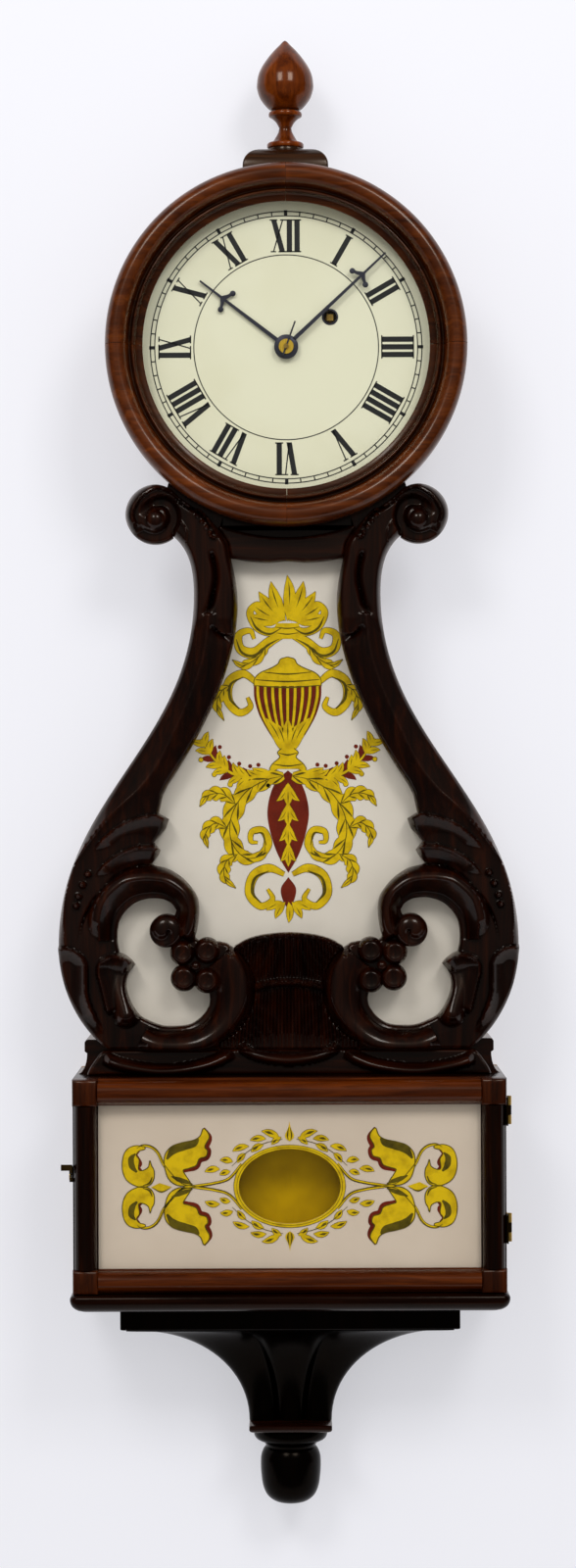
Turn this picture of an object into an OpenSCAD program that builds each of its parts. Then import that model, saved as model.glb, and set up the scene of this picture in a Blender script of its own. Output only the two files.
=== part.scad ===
// Lyre wall clock: a carved lyre front on a pendulum case, with a weight-driven movement.
// Lengths are in millimetres. X runs right, Z up, and the front faces -Y.
// The origin is the centre of the hanger hole, on the wall plane.
// A depth is a distance in front of the wall. A drop is a distance below the dial centre.

/* [Hanging] */
// Height of the hanger hole above the dial centre
hanger_rise = 84; // [78:1:88]
// Radius of the hanger hole
hanger_hole_r = 4; // [3:0.5:5]
// Width of the hanger plate
hanger_w = 36; // [32:1:40]
// Height of the hanger plate
hanger_h = 26; // [24:1:28]
// Thickness of the hanger plate
hanger_t = 2; // [1.5:0.5:3]

/* [Head] */
// Thickness of the backboard
back_t = 12; // [11:0.5:14]
// Outer radius of the round head
head_r = 121; // [119:0.5:122]
// Wall of the round head
head_wall = 11; // [10:0.5:12]
// Depth of the round head in front of the backboard
head_depth = 64; // [62:1:68]
// Front rim of the head that stays whole over the throat
head_rim = 9; // [7:1:9]

/* [Bezel] */
// Outer radius of the bezel
bezel_r = 129.4; // [128:0.2:131]
// Radius of the bezel opening
opening_r = 102.7; // [100:0.1:104]
// Depth of the bezel moulding
bezel_depth = 29; // [28:1:32]
// Width of the outer half-round of the bezel
bezel_round_w = 18; // [16:1:19]
// Thickness of the bezel glass
bezel_glass_t = 2.5; // [2:0.5:3]
// Gap between the bezel and the dial
bezel_gap = 0.5; // [0.4:0.1:0.8]
// Gap between the bezel and the carved arms
bezel_clear = 2.5; // [2.5:0.5:4]

/* [Dial and hands] */
// Rim of the head drum left bare round the dial plate
dial_margin = 5; // [4:0.5:8]
// Thickness of the dial plate
dial_t = 1.5; // [1:0.25:2]
// Radius of the winding hole in the dial
wind_hole_r = 4.7; // [4.4:0.1:5.5]
// Length of the minute hand
minute_l = 98; // [85:1:100]
// Length of the hour hand
hour_l = 78; // [60:1:85]
// Angle of the minute hand, clockwise from twelve
minute_angle = 46.9; // [0:0.1:360]
// Angle of the hour hand, clockwise from twelve
hour_angle = 307.6; // [0:0.1:360]

/* [Lyre] */
// Half width at the neck of the lyre
neck_hw = 67; // [65:0.5:72]
// Drop of the neck
neck_drop = 177; // [172:1:182]
// Half width at the bulb of the lyre
bulb_hw = 165.2; // [160:0.2:170]
// Height of the widest point above the foot
bulb_rise = 74.4; // [68:0.2:80]
// Half width where the bulb meets the foot
heel_hw = 130; // [124:1:134]
// Depth of the throat in front of the backboard
throat_depth = 56; // [54:1:58]
// Thickness of the throat sides
throat_wall = 9; // [7:0.5:10]
// Overhang of the carved arms beyond the throat sides
arm_overhang = 6; // [4:0.5:8]
// Thickness of the carved frame below its relief
frame_t = 14; // [11:0.5:15]
// Height of the carved relief
relief_h = 10; // [8:0.5:11]
// Radius of the volutes
volute_r = 21; // [19:0.5:22]
// Thickness of the throat glass
throat_glass_t = 3; // [2:0.5:3]
// Thickness of the baffle between weight and pendulum
baffle_t = 1.5; // [1:0.25:2]

/* [Box] */
// Width of the box
box_w = 307.6; // [300:0.2:316]
// Drop of the top of the box
box_drop = 522.4; // [518:0.2:528]
// Height of the box door
door_h = 152; // [148:1:158]
// Thickness of the box boards
box_t = 10; // [9:0.5:12]
// Depth of the box in front of the backboard
box_depth = 88; // [86:1:94]
// Thickness of the moulded base
base_t = 12.4; // [11:0.2:15]
// Height of the coved plinth on the box
plinth_h = 24.8; // [22:0.2:26]
// Width of the door stiles
stile_w = 18; // [16:0.5:20]
// Height of the door top rail
top_rail_h = 19; // [17:0.5:21]
// Height of the door bottom rail
low_rail_h = 17; // [16:0.5:20]
// Thickness of the box glass
box_glass_t = 3; // [2:0.5:3]
// Gap round the door
door_gap = 0.5; // [0.4:0.1:0.7]

/* [Bracket] */
// Width of the bracket shelf
shelf_w = 243; // [230:1:256]
// Thickness of the bracket shelf
shelf_t = 16; // [13:0.5:18]
// Depth of the bracket shelf
shelf_depth = 95; // [88:1:100]
// Height of the coved bracket
corbel_h = 74; // [68:1:80]
// Width of the bracket cap
cap_w = 60; // [58:1:66]
// Depth of the bracket cap
cap_depth = 67; // [62:1:72]
// Thickness of the bracket cap
cap_t = 5; // [4:0.5:7]
// Height of the turned drop
drop_h = 57; // [52:1:62]
// Radius of the turned drop
drop_r = 22; // [20:0.5:23]

/* [Finial] */
// Height of the finial block above the head
finial_block_h = 28.5; // [26:0.5:31]
// Half width of the foot of the finial block
finial_block_hw = 31; // [29:0.5:33]
// Height of the finial
finial_h = 79; // [70:1:88]
// Largest radius of the finial
finial_r = 20.7; // [18:0.1:22]

/* [Movement] */
// Thickness of the movement plates
plate_t = 2; // [1.5:0.25:2.5]
// Length of the pillars between the plates
pillar_l = 30; // [30:0.5:31]
// Length of the posts behind the movement
post_l = 6; // [5.5:0.25:6.5]
// Place of the winding arbor right of the dial centre
wind_x = 31.6; // [31:0.1:32.4]
// Place of the winding arbor above the dial centre
wind_z = 21.7; // [21:0.1:22.4]
// Module of the centre and third wheels
third_module = 0.6; // [0.58:0.01:0.62]
// Module of the third and escape wheels
escape_module = 0.5; // [0.48:0.01:0.52]
// Height of the pendulum pivot above the dial centre
pivot_rise = 50; // [49:0.5:52]
// Radius of the winding barrel
barrel_r = 8; // [7:0.25:9]
// Radius of the weight line
line_r = 0.6; // [0.5:0.05:0.7]
// Radial running clearance of pivots and pipes
run_clear = 0.05; // [0.03:0.01:0.08]

/* [Pendulum and weight] */
// Drop of the bob centre below the box top
bob_below = 82.6; // [74:0.2:90]
// Radius of the pendulum bob
bob_r = 44; // [40:0.5:47]
// Thickness of the pendulum bob
bob_t = 16; // [12:0.5:18]
// Radius of the pendulum rod
rod_r = 2; // [1.6:0.1:2.2]
// Width of the weight
weight_w = 44; // [36:1:46]
// Depth of the weight
weight_d = 30; // [26:0.5:31]
// Height of the weight
weight_h = 150; // [120:1:152]

/* [Hidden] */
$fn = 72;

mahogany = [0.38, 0.17, 0.06];
dark_wood = [0.14, 0.07, 0.05];
pine = [0.55, 0.40, 0.24];
brass = [0.75, 0.60, 0.28];
steel = [0.60, 0.61, 0.63];
blued = [0.06, 0.06, 0.08];
cream = [0.90, 0.88, 0.78];
ivory = [0.85, 0.81, 0.75];
iron = [0.25, 0.25, 0.26];

// Depths of the layers, from the wall forward
back_plate_d = back_t + post_l;
between_d = back_plate_d + plate_t;
front_plate_d = between_d + pillar_l;
motion_d = front_plate_d + plate_t;
head_front = back_t + head_depth;
dial_r = head_r - dial_margin;
dial_front = head_front + dial_t;
bezel_back = dial_front + bezel_gap;
bezel_front = bezel_back + bezel_depth;
bezel_glass_d = dial_front + 10.5;
frame_back = back_t + throat_depth;
frame_front = frame_back + frame_t;
relief_front = frame_front + relief_h;
box_front = back_t + box_depth;
door_back = box_front + door_gap;
swing_d = motion_d + 8;

// Heights and drops
box_hw = box_w / 2;
plinth_top = box_drop - plinth_h;
foot_seat = 6.8;
foot_top = plinth_top + foot_seat;
bulb_drop = foot_top - bulb_rise;
base_drop = box_drop + door_h + door_gap;
shelf_drop = base_drop + base_t;
corbel_drop = shelf_drop + shelf_t;
cap_drop = corbel_drop + corbel_h;
drop_drop = cap_drop + cap_t;
bob_drop = box_drop + bob_below;
interior_hw = neck_hw - arm_overhang - throat_wall;
shut_gap = 0.3;

// Shapes in the front plane, given as x and z
function polar(r, a) = [r * cos(a), r * sin(a)];
function arc(c, r, a0, a1, n) = [for (i = [0:n]) c + polar(r, a0 + (a1 - a0) * i / n)];
function bezier(p, t) =
    pow(1 - t, 3) * p[0] + 3 * pow(1 - t, 2) * t * p[1] + 3 * (1 - t) * t * t * p[2] + pow(t, 3) * p[3];
function curve(p, n) = [for (i = [0:n - 1]) bezier(p, i / n)];
function tangent(pts, i) =
    let (a = pts[max(i - 1, 0)], b = pts[min(i + 1, len(pts) - 1)]) (b - a) / norm(b - a);
function inset(pts, d) =
    [for (i = [0:len(pts) - 1]) let (t = tangent(pts, i)) pts[i] + d * [t.y, -t.x]];
function reversed(pts) = [for (i = [len(pts) - 1:-1:0]) pts[i]];

module at_dial() translate([0, 0, -hanger_rise]) children();
module slab(d0, d1) translate([0, -d0, 0]) rotate([90, 0, 0]) linear_extrude(d1 - d0) children();
module turned(x, z) translate([x, 0, z]) rotate([90, 0, 0]) rotate_extrude() children();
module rod(x, z, r, d0, d1) translate([x, -d0, z]) rotate([90, 0, 0]) cylinder(r = r, h = d1 - d0);
module block(x0, x1, d0, d1, z0, z1) translate([x0, -d1, z0]) cube([x1 - x0, d1 - d0, z1 - z0]);
module both_sides() {
    children();
    mirror([1, 0, 0]) children();
}
module bar(p, q, w) {
    v = q - p;
    translate(p) rotate(atan2(v.y, v.x)) translate([0, -w / 2]) square([norm(v), w]);
}

// Outer edge of the lyre, from the neck down to the foot
neck_pull = 108;
heel_swell = 18;
throat_edge = concat(
    curve([[neck_hw, -neck_drop], [neck_hw, -neck_drop - neck_pull],
           [bulb_hw, -bulb_drop + neck_pull], [bulb_hw, -bulb_drop]], 24),
    curve([[bulb_hw, -bulb_drop], [bulb_hw, -bulb_drop - 0.457 * bulb_rise],
           [heel_hw + heel_swell, -foot_top + 0.188 * bulb_rise], [heel_hw, -foot_top]], 10),
    [[heel_hw, -foot_top]]
);

// Carved arm: volute, inner edge, leaf tips and the two scrolls
// The scroll points are written for a foot at drawn_foot, and move with the foot
drawn_foot = 504.4;
function on_foot(p) = p + [0, drawn_foot - foot_top];
function all_on_foot(pts) = [for (p = pts) on_foot(p)];
// The points round the head are written for a rail arc of drawn_rail, and move out with it
rail_gap = 6.6;
rail_band = 6;
rail_arc_r = max(head_r + rail_band, bezel_r + rail_gap);
drawn_rail = 136;
function on_head(p) = p + (rail_arc_r - drawn_rail) * p / norm(p);
volute = on_head([96, -119.3]);
upper_scroll = on_foot([92.5, -403.5]);
upper_scroll_r = 27.7;
lower_scroll = on_foot([63, -462]);
lower_scroll_r = 38.5;
scroll_eye = on_foot([89.2, -418.4]);
scroll_eye_r = 12.2;
rosette = on_foot([66.8, -442.4]);
petal_r = 9.2;
petal_step = 8.8;
arm_w = 31.3;
inner_x = neck_hw - arm_w;
rail_h = 18;
rail_low = rail_arc_r + rail_h;
throat_corner = [inner_x + 4.7, -rail_low + 2.7];
fan_foot_hw = 49.8;
arm_start = curve([volute + [-15.3, -14.8], volute + [-24.8, -24.8],
                   [neck_hw, -neck_drop + 17], [neck_hw, -neck_drop]], 8);
inner_top = [for (p = [[42.7, -140.7], [49, -132.3], [53.2, -125.3], [64.5, -119], [77, -107], [84, -97]]) on_head(p)];
inner_edge = concat(
    curve([on_foot([88.3, -317]), on_foot([66, -286]), [inner_x, -neck_drop - 55], [inner_x, -neck_drop - 7]], 16),
    curve([[inner_x, -neck_drop - 7], [inner_x, -neck_drop + 7], [inner_x + 2.8, -neck_drop + 17], throat_corner], 6),
    [throat_corner]
);
leaf_tips = all_on_foot([[96.3, -371.2], [89.9, -361.3], [94.9, -356.7], [83.7, -339.3], [90, -335.5]]);
arm_edge = concat(
    arm_start, throat_edge, [[fan_foot_hw, -foot_top]],
    arc(lower_scroll, lower_scroll_r, 250, 125, 14), [on_foot([50, -427])],
    arc(upper_scroll, upper_scroll_r, 218, 100, 12),
    leaf_tips, inner_edge, inner_top
);
opening_edge = all_on_foot([
    [80.7, -404.6], [88, -397.5], [98.8, -394.7], [111, -398.5], [119, -407], [123, -420], [122.5, -433],
    [111, -441.8], [117, -452], [115, -465], [106, -479], [86, -487.4], [68, -480.5], [58, -465],
    [58, -450], [66, -425]
]);

module scroll_band(c, r, w, a0, a1) polygon(concat(arc(c, r, a0, a1, 16), arc(c, r - w, a1, a0, 16)));

module arm_solid() difference() {
    union() {
        slab(frame_back, frame_front) difference() {
            polygon(arm_edge);
            polygon(opening_edge);
        }
        rod(volute.x, volute.y, volute_r, frame_back, frame_front + relief_h / 2);
        slab(frame_back, relief_front - 2) scroll_band(upper_scroll, upper_scroll_r - 1, 12, 215, 60);
        slab(frame_back, relief_front - 2) scroll_band(lower_scroll, lower_scroll_r - 1, 14, 128, 245);
        rod(scroll_eye.x, scroll_eye.y, scroll_eye_r, frame_back, relief_front - 2);
        for (sx = [-1, 1], sz = [-1, 1]) turned(rosette.x + sx * petal_step, rosette.y + sz * petal_step)
            polygon(concat([[0, frame_back]], arc([0, frame_front], petal_r, 0, 90, 8)));
    }
    rod(0, 0, bezel_r + bezel_clear, 0, bezel_front);
}
module left_arm() color(dark_wood) at_dial() mirror([1, 0, 0]) arm_solid();
module right_arm() color(dark_wood) at_dial() arm_solid();

// Rail under the bezel, between the tops of the arms
// Behind the bezel it carries on, set back, up to the head drum
rail_seat = 0.3;
rail_ends = [for (p = inner_top) if (norm(p) > rail_arc_r) p];
rail_wings = [for (p = inner_top) if (norm(p) <= rail_arc_r) p];
wing_a = atan2(inner_top[5].y, inner_top[5].x);
module top_rail() color(dark_wood) at_dial() {
    slab(frame_back, frame_front - 2) polygon(concat(
        rail_ends, arc([0, 0], rail_arc_r, 293, 247, 16), reversed([for (p = rail_ends) [-p.x, p.y]]),
        [[-throat_corner.x, throat_corner.y], [0, -rail_low], throat_corner]
    ));
    slab(frame_back, head_front) polygon(concat(
        arc([0, 0], rail_arc_r, 247, 293, 16), [rail_ends[len(rail_ends) - 1]], rail_wings,
        arc([0, 0], head_r + rail_seat, wing_a, -180 - wing_a, 32), reversed([for (p = rail_wings) [-p.x, p.y]]),
        [[-rail_ends[len(rail_ends) - 1].x, rail_ends[len(rail_ends) - 1].y]]
    ));
}

// Ribbed fan between the lower scrolls
fan_h = 83.9;
fan_lip = foot_top - fan_h;
module fan_panel() color(dark_wood) at_dial() {
    slab(frame_back, frame_front - 2) polygon(concat(
        arc(lower_scroll, lower_scroll_r, 125, 250, 14), [[fan_foot_hw, -foot_top], [-fan_foot_hw, -foot_top]],
        [for (p = arc(lower_scroll, lower_scroll_r, 250, 125, 14)) [-p.x, p.y]],
        [[-20, -fan_lip - 2.5], [0, -fan_lip], [20, -fan_lip - 2.5]]
    ));
    for (i = [-4:4]) slab(frame_front - 2, frame_front + 2)
        bar([i * 4.2, -fan_lip - 6 - abs(i)], [i * 3.6, -foot_top + 14], 2.4);
}

// Foot of the lyre, with a flared ear at each end
ear_hw = 144.7;
ear_rise = 9;
heel_step = 3;
swag_step = 88;
swag_lift = 45;
swag_r = 42;
swag_w = 6;
module lyre_foot() color(dark_wood) at_dial() {
    slab(frame_back, frame_front) polygon([
        [heel_hw, -foot_top], [heel_hw + heel_step, -box_drop + ear_rise], [ear_hw, -box_drop],
        [-ear_hw, -box_drop], [-heel_hw - heel_step, -box_drop + ear_rise], [-heel_hw, -foot_top]
    ]);
    slab(frame_front, frame_front + relief_h / 2) for (c = [-swag_step, 0, swag_step])
        translate([c, -box_drop + swag_lift])
            polygon(concat(arc([0, 0], swag_r, 240, 300, 8), arc([0, 0], swag_r - swag_w, 300, 240, 8)));
}

// Case
throat_rise = head_r * 0.7;
module throat_wall_shape() {
    top = [neck_hw, -throat_rise];
    edge = inset(concat([top], throat_edge), arm_overhang);
    inner = inset(concat([top], throat_edge), arm_overhang + throat_wall);
    polygon(concat(edge, reversed(inner)));
}
module throat_shape(margin) {
    edge = inset(concat([[neck_hw, -throat_rise]], throat_edge), margin);
    polygon(concat(edge, reversed([for (p = edge) [-p.x, p.y]])));
}
module throat_sides() color(dark_wood) at_dial() both_sides() difference() {
    slab(back_t, frame_back) throat_wall_shape();
    rod(0, 0, head_r, 0, bezel_front);
    block(0, bulb_hw, 0, bezel_front, -base_drop, -plinth_top);
}

screw_r = 1.6;
hanger_screws = [for (sx = [-1, 1], sz = [-1, 1]) [sx * (hanger_w / 2 - 5), sz * (hanger_h / 2 - 5)]];
nail_room_r = 9;
nail_room_d = 10;
plate_x0 = -45;
plate_x1 = 62;
plate_z0 = -38;
plate_z1 = 64;
pillar_inset = 5;
pillar_at = [for (x = [plate_x0 + pillar_inset, plate_x1 - pillar_inset],
                  z = [plate_z0 + pillar_inset, plate_z1 - pillar_inset]) [x, z]];
post_bolt_r = 2;

module backboard() color(pine) difference() {
    at_dial() union() {
        rod(0, 0, head_r, 0, back_t);
        slab(0, back_t) throat_shape(arm_overhang);
        block(-plinth_hw, plinth_hw, 0, back_t, -box_drop, -plinth_top);
        block(-box_hw, box_hw, 0, back_t, -base_drop, -box_drop);
    }
    block(-hanger_w / 2 - 0.1, hanger_w / 2 + 0.1, -1, hanger_t, -hanger_h / 2 - 0.1, hanger_h / 2 + 0.1);
    rod(0, 0, nail_room_r, 0, nail_room_d);
    for (p = hanger_screws) rod(p.x, p.y, screw_r + run_clear, 0, back_t - 2);
    at_dial() for (p = pillar_at) rod(p.x, p.y, post_bolt_r + run_clear, 3, back_t + 1);
}
module hanger_plate() color(brass) difference() {
    block(-hanger_w / 2, hanger_w / 2, 0, hanger_t, -hanger_h / 2, hanger_h / 2);
    rod(0, 0, hanger_hole_r, -1, hanger_t + 1);
    for (p = hanger_screws) rod(p.x, p.y, screw_r + run_clear, -1, hanger_t + 1);
}

dial_screw_r = 1.5;
dial_screw_at = [for (a = [45:90:315]) polar(head_r - head_wall + 3, a)];
bezel_pin_x = head_r + 2.6;
bezel_pin_d = bezel_back - 0.8;
knuckle_r = 2;
hinge_pin_r = 1;
bezel_leaf_h = 26;
leaf_t = 1.2;
leaf_flat_x = head_r - 1.8;
module head_drum() color(mahogany) at_dial() difference() {
    rod(0, 0, head_r, back_t, head_front);
    rod(0, 0, head_r - head_wall, back_t - 1, head_front + 1);
    block(-interior_hw, interior_hw, back_t - 1, head_front - head_rim, -head_r - 1, -head_r / 2);
    for (p = dial_screw_at) rod(p.x, p.y, dial_screw_r + run_clear, head_front - 8, head_front + 1);
    block(leaf_flat_x, head_r + 1, head_front - 18, head_front + 1, -bezel_leaf_h / 2 - 0.2, bezel_leaf_h / 2 + 0.2);
}

// Finial block with rounded shoulders, cut to sit on the round head
finial_d = back_t + head_depth * 0.45;
finial_block_d = 24;
shoulder_r = 10;
block_top = head_r + finial_block_h;
finial_peg_r = 4;
finial_peg_h = 10;
module finial_block() color(dark_wood) at_dial() difference() {
    slab(finial_d - finial_block_d, finial_d + finial_block_d) polygon(concat(
        [[finial_block_hw, head_r * 0.9]],
        arc([finial_block_hw - shoulder_r, block_top - shoulder_r], shoulder_r, 0, 90, 6),
        arc([-finial_block_hw + shoulder_r, block_top - shoulder_r], shoulder_r, 90, 180, 6),
        [[-finial_block_hw, head_r * 0.9]]
    ));
    rod(0, 0, head_r, 0, bezel_front);
    translate([0, -finial_d, block_top - finial_peg_h - 0.5]) cylinder(r = finial_peg_r + run_clear, h = finial_peg_h + 1);
}
finial_neck_r = 4.8;
finial_foot_r = 13.4;
finial_collar_r = 11.7;
module finial() color(mahogany) at_dial() translate([0, -finial_d, block_top]) rotate_extrude() polygon(concat(
    [[0, -finial_peg_h], [finial_peg_r, -finial_peg_h], [finial_peg_r, 0], [finial_foot_r, 0],
     [finial_foot_r, 3.5], [finial_foot_r - 2.5, 5], [finial_neck_r + 2, 9]],
    [[finial_neck_r, 14], [finial_neck_r + 1.8, 19], [finial_collar_r - 2, 22], [finial_collar_r, 23.5],
     [finial_collar_r, 26], [finial_collar_r + 2, 29]],
    curve([[finial_r - 2, 36], [finial_r, 39], [finial_r, 44], [finial_r, 46]], 4),
    curve([[finial_r, 46], [finial_r, 56], [finial_r * 0.6, finial_h - 12], [1.2, finial_h]], 8),
    [[1.2, finial_h], [0, finial_h]]
));

// Throat glass, held to the back of the frame by cleats
glass_margin = arm_overhang + throat_wall + 8;
glass_over = 5.3;
glass_rise = 12.4;
glass_top = -throat_corner.y - glass_over;
glass_low = foot_top - glass_rise;
module throat_glass() color(ivory, 0.6) at_dial() intersection() {
    slab(frame_back - throat_glass_t, frame_back) throat_shape(glass_margin);
    block(-bulb_hw, bulb_hw, 0, bezel_front, -glass_low, -glass_top);
}
cleat_h = 12;
cleat_w = 7;
cleat_lip = 4;
glass_edge = inset(throat_edge, glass_margin);
cleat_steps = [2, 10, 17];
module glass_cleats() color(pine) at_dial() both_sides() for (i = cleat_steps) {
    p = glass_edge[i];
    reach = glass_edge[i].x + cleat_h / 2 * abs(tangent(glass_edge, i).x / tangent(glass_edge, i).y) + 0.5;
    difference() {
        block(reach - cleat_lip, reach + cleat_w - 2, frame_back - throat_glass_t - 3, frame_back,
              p.y - cleat_h / 2, p.y + cleat_h / 2);
        slab(frame_back - throat_glass_t, frame_back + 1) throat_shape(glass_margin - 0.2);
        slab(0, bezel_front) difference() {
            translate([-bulb_hw, -base_drop]) square([2 * bulb_hw, base_drop]);
            throat_shape(arm_overhang + throat_wall + 0.3);
        }
    }
}
module baffle() color(pine) at_dial() intersection() {
    slab(motion_d - baffle_t, motion_d) throat_shape(arm_overhang + throat_wall + shut_gap);
    block(-bulb_hw, bulb_hw, 0, bezel_front, -plinth_top, -head_r - 2);
}

// Coved plinth and box
plinth_flare = 7;
plinth_hw = box_hw - plinth_flare - 1;
cove_h = 15;
plinth_edge = [for (a = [0:15:90])
    [plinth_hw + plinth_flare * (1 - sin(a)), -box_drop + cove_h * (1 - cos(a))]];
well_hw = 50;
well_front = frame_back - 5;
module plinth() color(dark_wood) at_dial() difference() {
    slab(back_t, frame_back) polygon(concat(
        plinth_edge, [[plinth_hw, -plinth_top], [-plinth_hw, -plinth_top]],
        reversed([for (p = plinth_edge) [-p.x, p.y]])
    ));
    block(-well_hw, well_hw, 0, well_front, -box_drop - 1, -plinth_top + 1);
}
module box_top() color(mahogany) at_dial() difference() {
    block(-box_hw, box_hw, back_t, box_front, -box_drop - box_t, -box_drop);
    block(-well_hw, well_hw, 0, well_front, -box_drop - box_t - 1, -box_drop + 1);
}
hinge_z = [-box_drop - 24, -base_drop + 45];
leaf_h = 20;
latch_drop = 71.6;
latch_z = -box_drop - latch_drop;
latch_d = box_front - 16;
latch_screw_r = 1.5;
module box_sides() color(mahogany) at_dial() difference() {
    both_sides() block(box_hw - box_t, box_hw, back_t, box_front, -base_drop, -box_drop - box_t);
    translate([-box_hw - 1, -latch_d, latch_z]) rotate([0, 90, 0])
        cylinder(r = latch_screw_r + run_clear, h = box_t - 1);
}
base_hw = box_hw + 2;
base_front = door_back + 21;
base_round = 9;
module base_moulding() color(mahogany) at_dial() intersection() {
    slab(0, base_front) polygon(concat(
        arc([base_hw - base_round, -base_drop - base_t + base_round], base_round, -90, 0, 6),
        [[base_hw, -base_drop], [-base_hw, -base_drop]],
        arc([-base_hw + base_round, -base_drop - base_t + base_round], base_round, 180, 270, 6)
    ));
    translate([-base_hw, 0, 0]) rotate([90, 0, 90]) linear_extrude(2 * base_hw) polygon(concat(
        [[0, -base_drop], [0, -base_drop - base_t]],
        arc([-base_front + base_round, -base_drop - base_t + base_round], base_round, 270, 180, 6),
        [[-base_front, -base_drop]]
    ));
}

// Bracket under the box
shelf_hw = shelf_w / 2;
corbel_hw = shelf_hw - 4;
corbel_depth = shelf_depth - 8;
corbel_low_depth = cap_depth - 20;
cove_rise = corbel_h * 0.97;
corbel_side = [for (a = [0:7.5:90])
    [corbel_hw - (corbel_hw - cap_w / 2) * sin(a), -cap_drop + cove_rise * cos(a)]];
module bracket_shelf() color(dark_wood) at_dial()
    block(-shelf_hw, shelf_hw, 0, shelf_depth, -corbel_drop, -shelf_drop);
module bracket_corbel() color(dark_wood) at_dial() intersection() {
    slab(0, corbel_depth) polygon(concat(
        [[-corbel_hw, -corbel_drop], [corbel_hw, -corbel_drop]],
        corbel_side, reversed([for (p = corbel_side) [-p.x, p.y]])
    ));
    translate([-corbel_hw, 0, 0]) rotate([90, 0, 90]) linear_extrude(2 * corbel_hw) polygon(concat(
        [[0, -corbel_drop], [0, -cap_drop]],
        [for (a = [90:-7.5:0])
            [-corbel_depth + (corbel_depth - corbel_low_depth) * sin(a), -cap_drop + cove_rise * cos(a)]],
        [[-corbel_depth, -corbel_drop]]
    ));
}
module bracket_cap() color(dark_wood) at_dial()
    block(-cap_w / 2, cap_w / 2, 0, cap_depth, -drop_drop, -cap_drop);
module pendant_drop() color(dark_wood) at_dial() translate([0, -cap_depth / 2, -drop_drop]) rotate_extrude()
    polygon(concat(
        [[0, 0], [drop_r + 2.5, 0]],
        arc([drop_r, -5], 5, 60, -60, 6),
        [[drop_r - 4, -14]],
        [for (a = [40:-10:-90]) [drop_r * cos(a), -drop_h + 23 + 23 * sin(a)]]
    ));

// Dial
arbor_r = 1.8;
cannon_r = 2.8;
hour_pipe_r = 4;
module dial() color(cream) at_dial() difference() {
    rod(0, 0, dial_r, head_front, dial_front);
    rod(0, 0, hour_pipe_r + 2, head_front - 1, dial_front + 1);
    rod(wind_x, wind_z, wind_hole_r, head_front - 1, dial_front + 1);
    for (p = dial_screw_at) rod(p.x, p.y, dial_screw_r + run_clear, head_front - 1, dial_front + 1);
}

// Train: tooth proportions are addendum, dedendum and the widths at tip, pitch line and root
wheel_tooth = [0.75, 1.25, 0.14, 0.40, 0.50];
leaf_tooth = [0.65, 1.15, 0.12, 0.34, 0.42];
function gear(n, m, k, turn) = [for (i = [0:n - 1]) let (r = n * m / 2, p = 360 / n, a = i * p + turn) each [
    polar(r - k[1] * m, a - k[4] * p / 2), polar(r, a - k[3] * p / 2), polar(r + k[0] * m, a - k[2] * p / 2),
    polar(r + k[0] * m, a + k[2] * p / 2), polar(r, a + k[3] * p / 2), polar(r - k[1] * m, a + k[4] * p / 2)
]];
great_n = 96;
centre_n = 80;
third_n = 75;
pinion_n = 8;
escape_n = 24;
cannon_n = 12;
minute_n = 36;
minute_pinion_n = 10;
hour_n = 40;
great_at = [wind_x, wind_z];
great_module = 2 * norm(great_at) / (great_n + pinion_n);
great_a = atan2(great_at.y, great_at.x);
third_a = 170;
third_at = polar(third_module * (centre_n + pinion_n) / 2, third_a);
escape_a = 68;
escape_at = third_at + polar(escape_module * (third_n + pinion_n) / 2, escape_a);
verge_at = [0, pivot_rise];
motion_a = 250;
motion_module = 0.6;
motion_at = polar(motion_module * (cannon_n + minute_n) / 2, motion_a);
hour_module = 2 * norm(motion_at) / (hour_n + minute_pinion_n);
pivot_r = 1;
pivot_d0 = back_plate_d + 0.3;
pivot_d1 = motion_d - 0.3;
wind_arbor_r = 3;
great_d = front_plate_d - 6;
centre_d = front_plate_d - 13;
third_d = front_plate_d - 21;
escape_d = front_plate_d - 26;
minute_d = motion_d + 1.3;
hour_d = motion_d + 14;
hour_hand_d = dial_front + 2;
minute_hand_d = hour_hand_d + 2.5;
hand_t = 0.9;
collet_t = 1.5;

module plate_holes(d) {
    rod(0, 0, arbor_r + run_clear, d - 1, d + plate_t + 1);
    for (p = [third_at, escape_at, verge_at]) rod(p.x, p.y, pivot_r + run_clear, d - 1, d + plate_t + 1);
    rod(wind_x, wind_z, wind_arbor_r + run_clear, d - 1, d + plate_t + 1);
}
module movement_plate(d) difference() {
    block(plate_x0, plate_x1, d, d + plate_t, plate_z0, plate_z1);
    plate_holes(d);
}
minute_post_r = 1.5;
module front_plate() color(brass) at_dial() {
    movement_plate(front_plate_d);
    rod(motion_at.x, motion_at.y, minute_post_r, motion_d, hour_d + 4);
}
module back_plate() color(brass) at_dial() difference() {
    movement_plate(back_plate_d);
    for (p = pillar_at) rod(p.x, p.y, post_bolt_r + run_clear, 0, between_d + 1);
}
pillar_r = 3.5;
line_right = great_at.x - barrel_r - line_r - 0.1;
line_left = 4;
tie_z = -33;
tie_r = 2;
module plate_pillars() color(brass) at_dial() {
    for (p = pillar_at) difference() {
        rod(p.x, p.y, pillar_r, between_d, front_plate_d);
        rod(p.x, p.y, post_bolt_r + run_clear, between_d - 1, between_d + 5);
    }
    rod(line_left, tie_z, tie_r, between_d, front_plate_d);
}
module movement_posts() color(steel) at_dial() for (p = pillar_at) {
    rod(p.x, p.y, pillar_r + 1, back_t, back_plate_d);
    rod(p.x, p.y, post_bolt_r, 3.5, between_d + 4.5);
}

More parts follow.
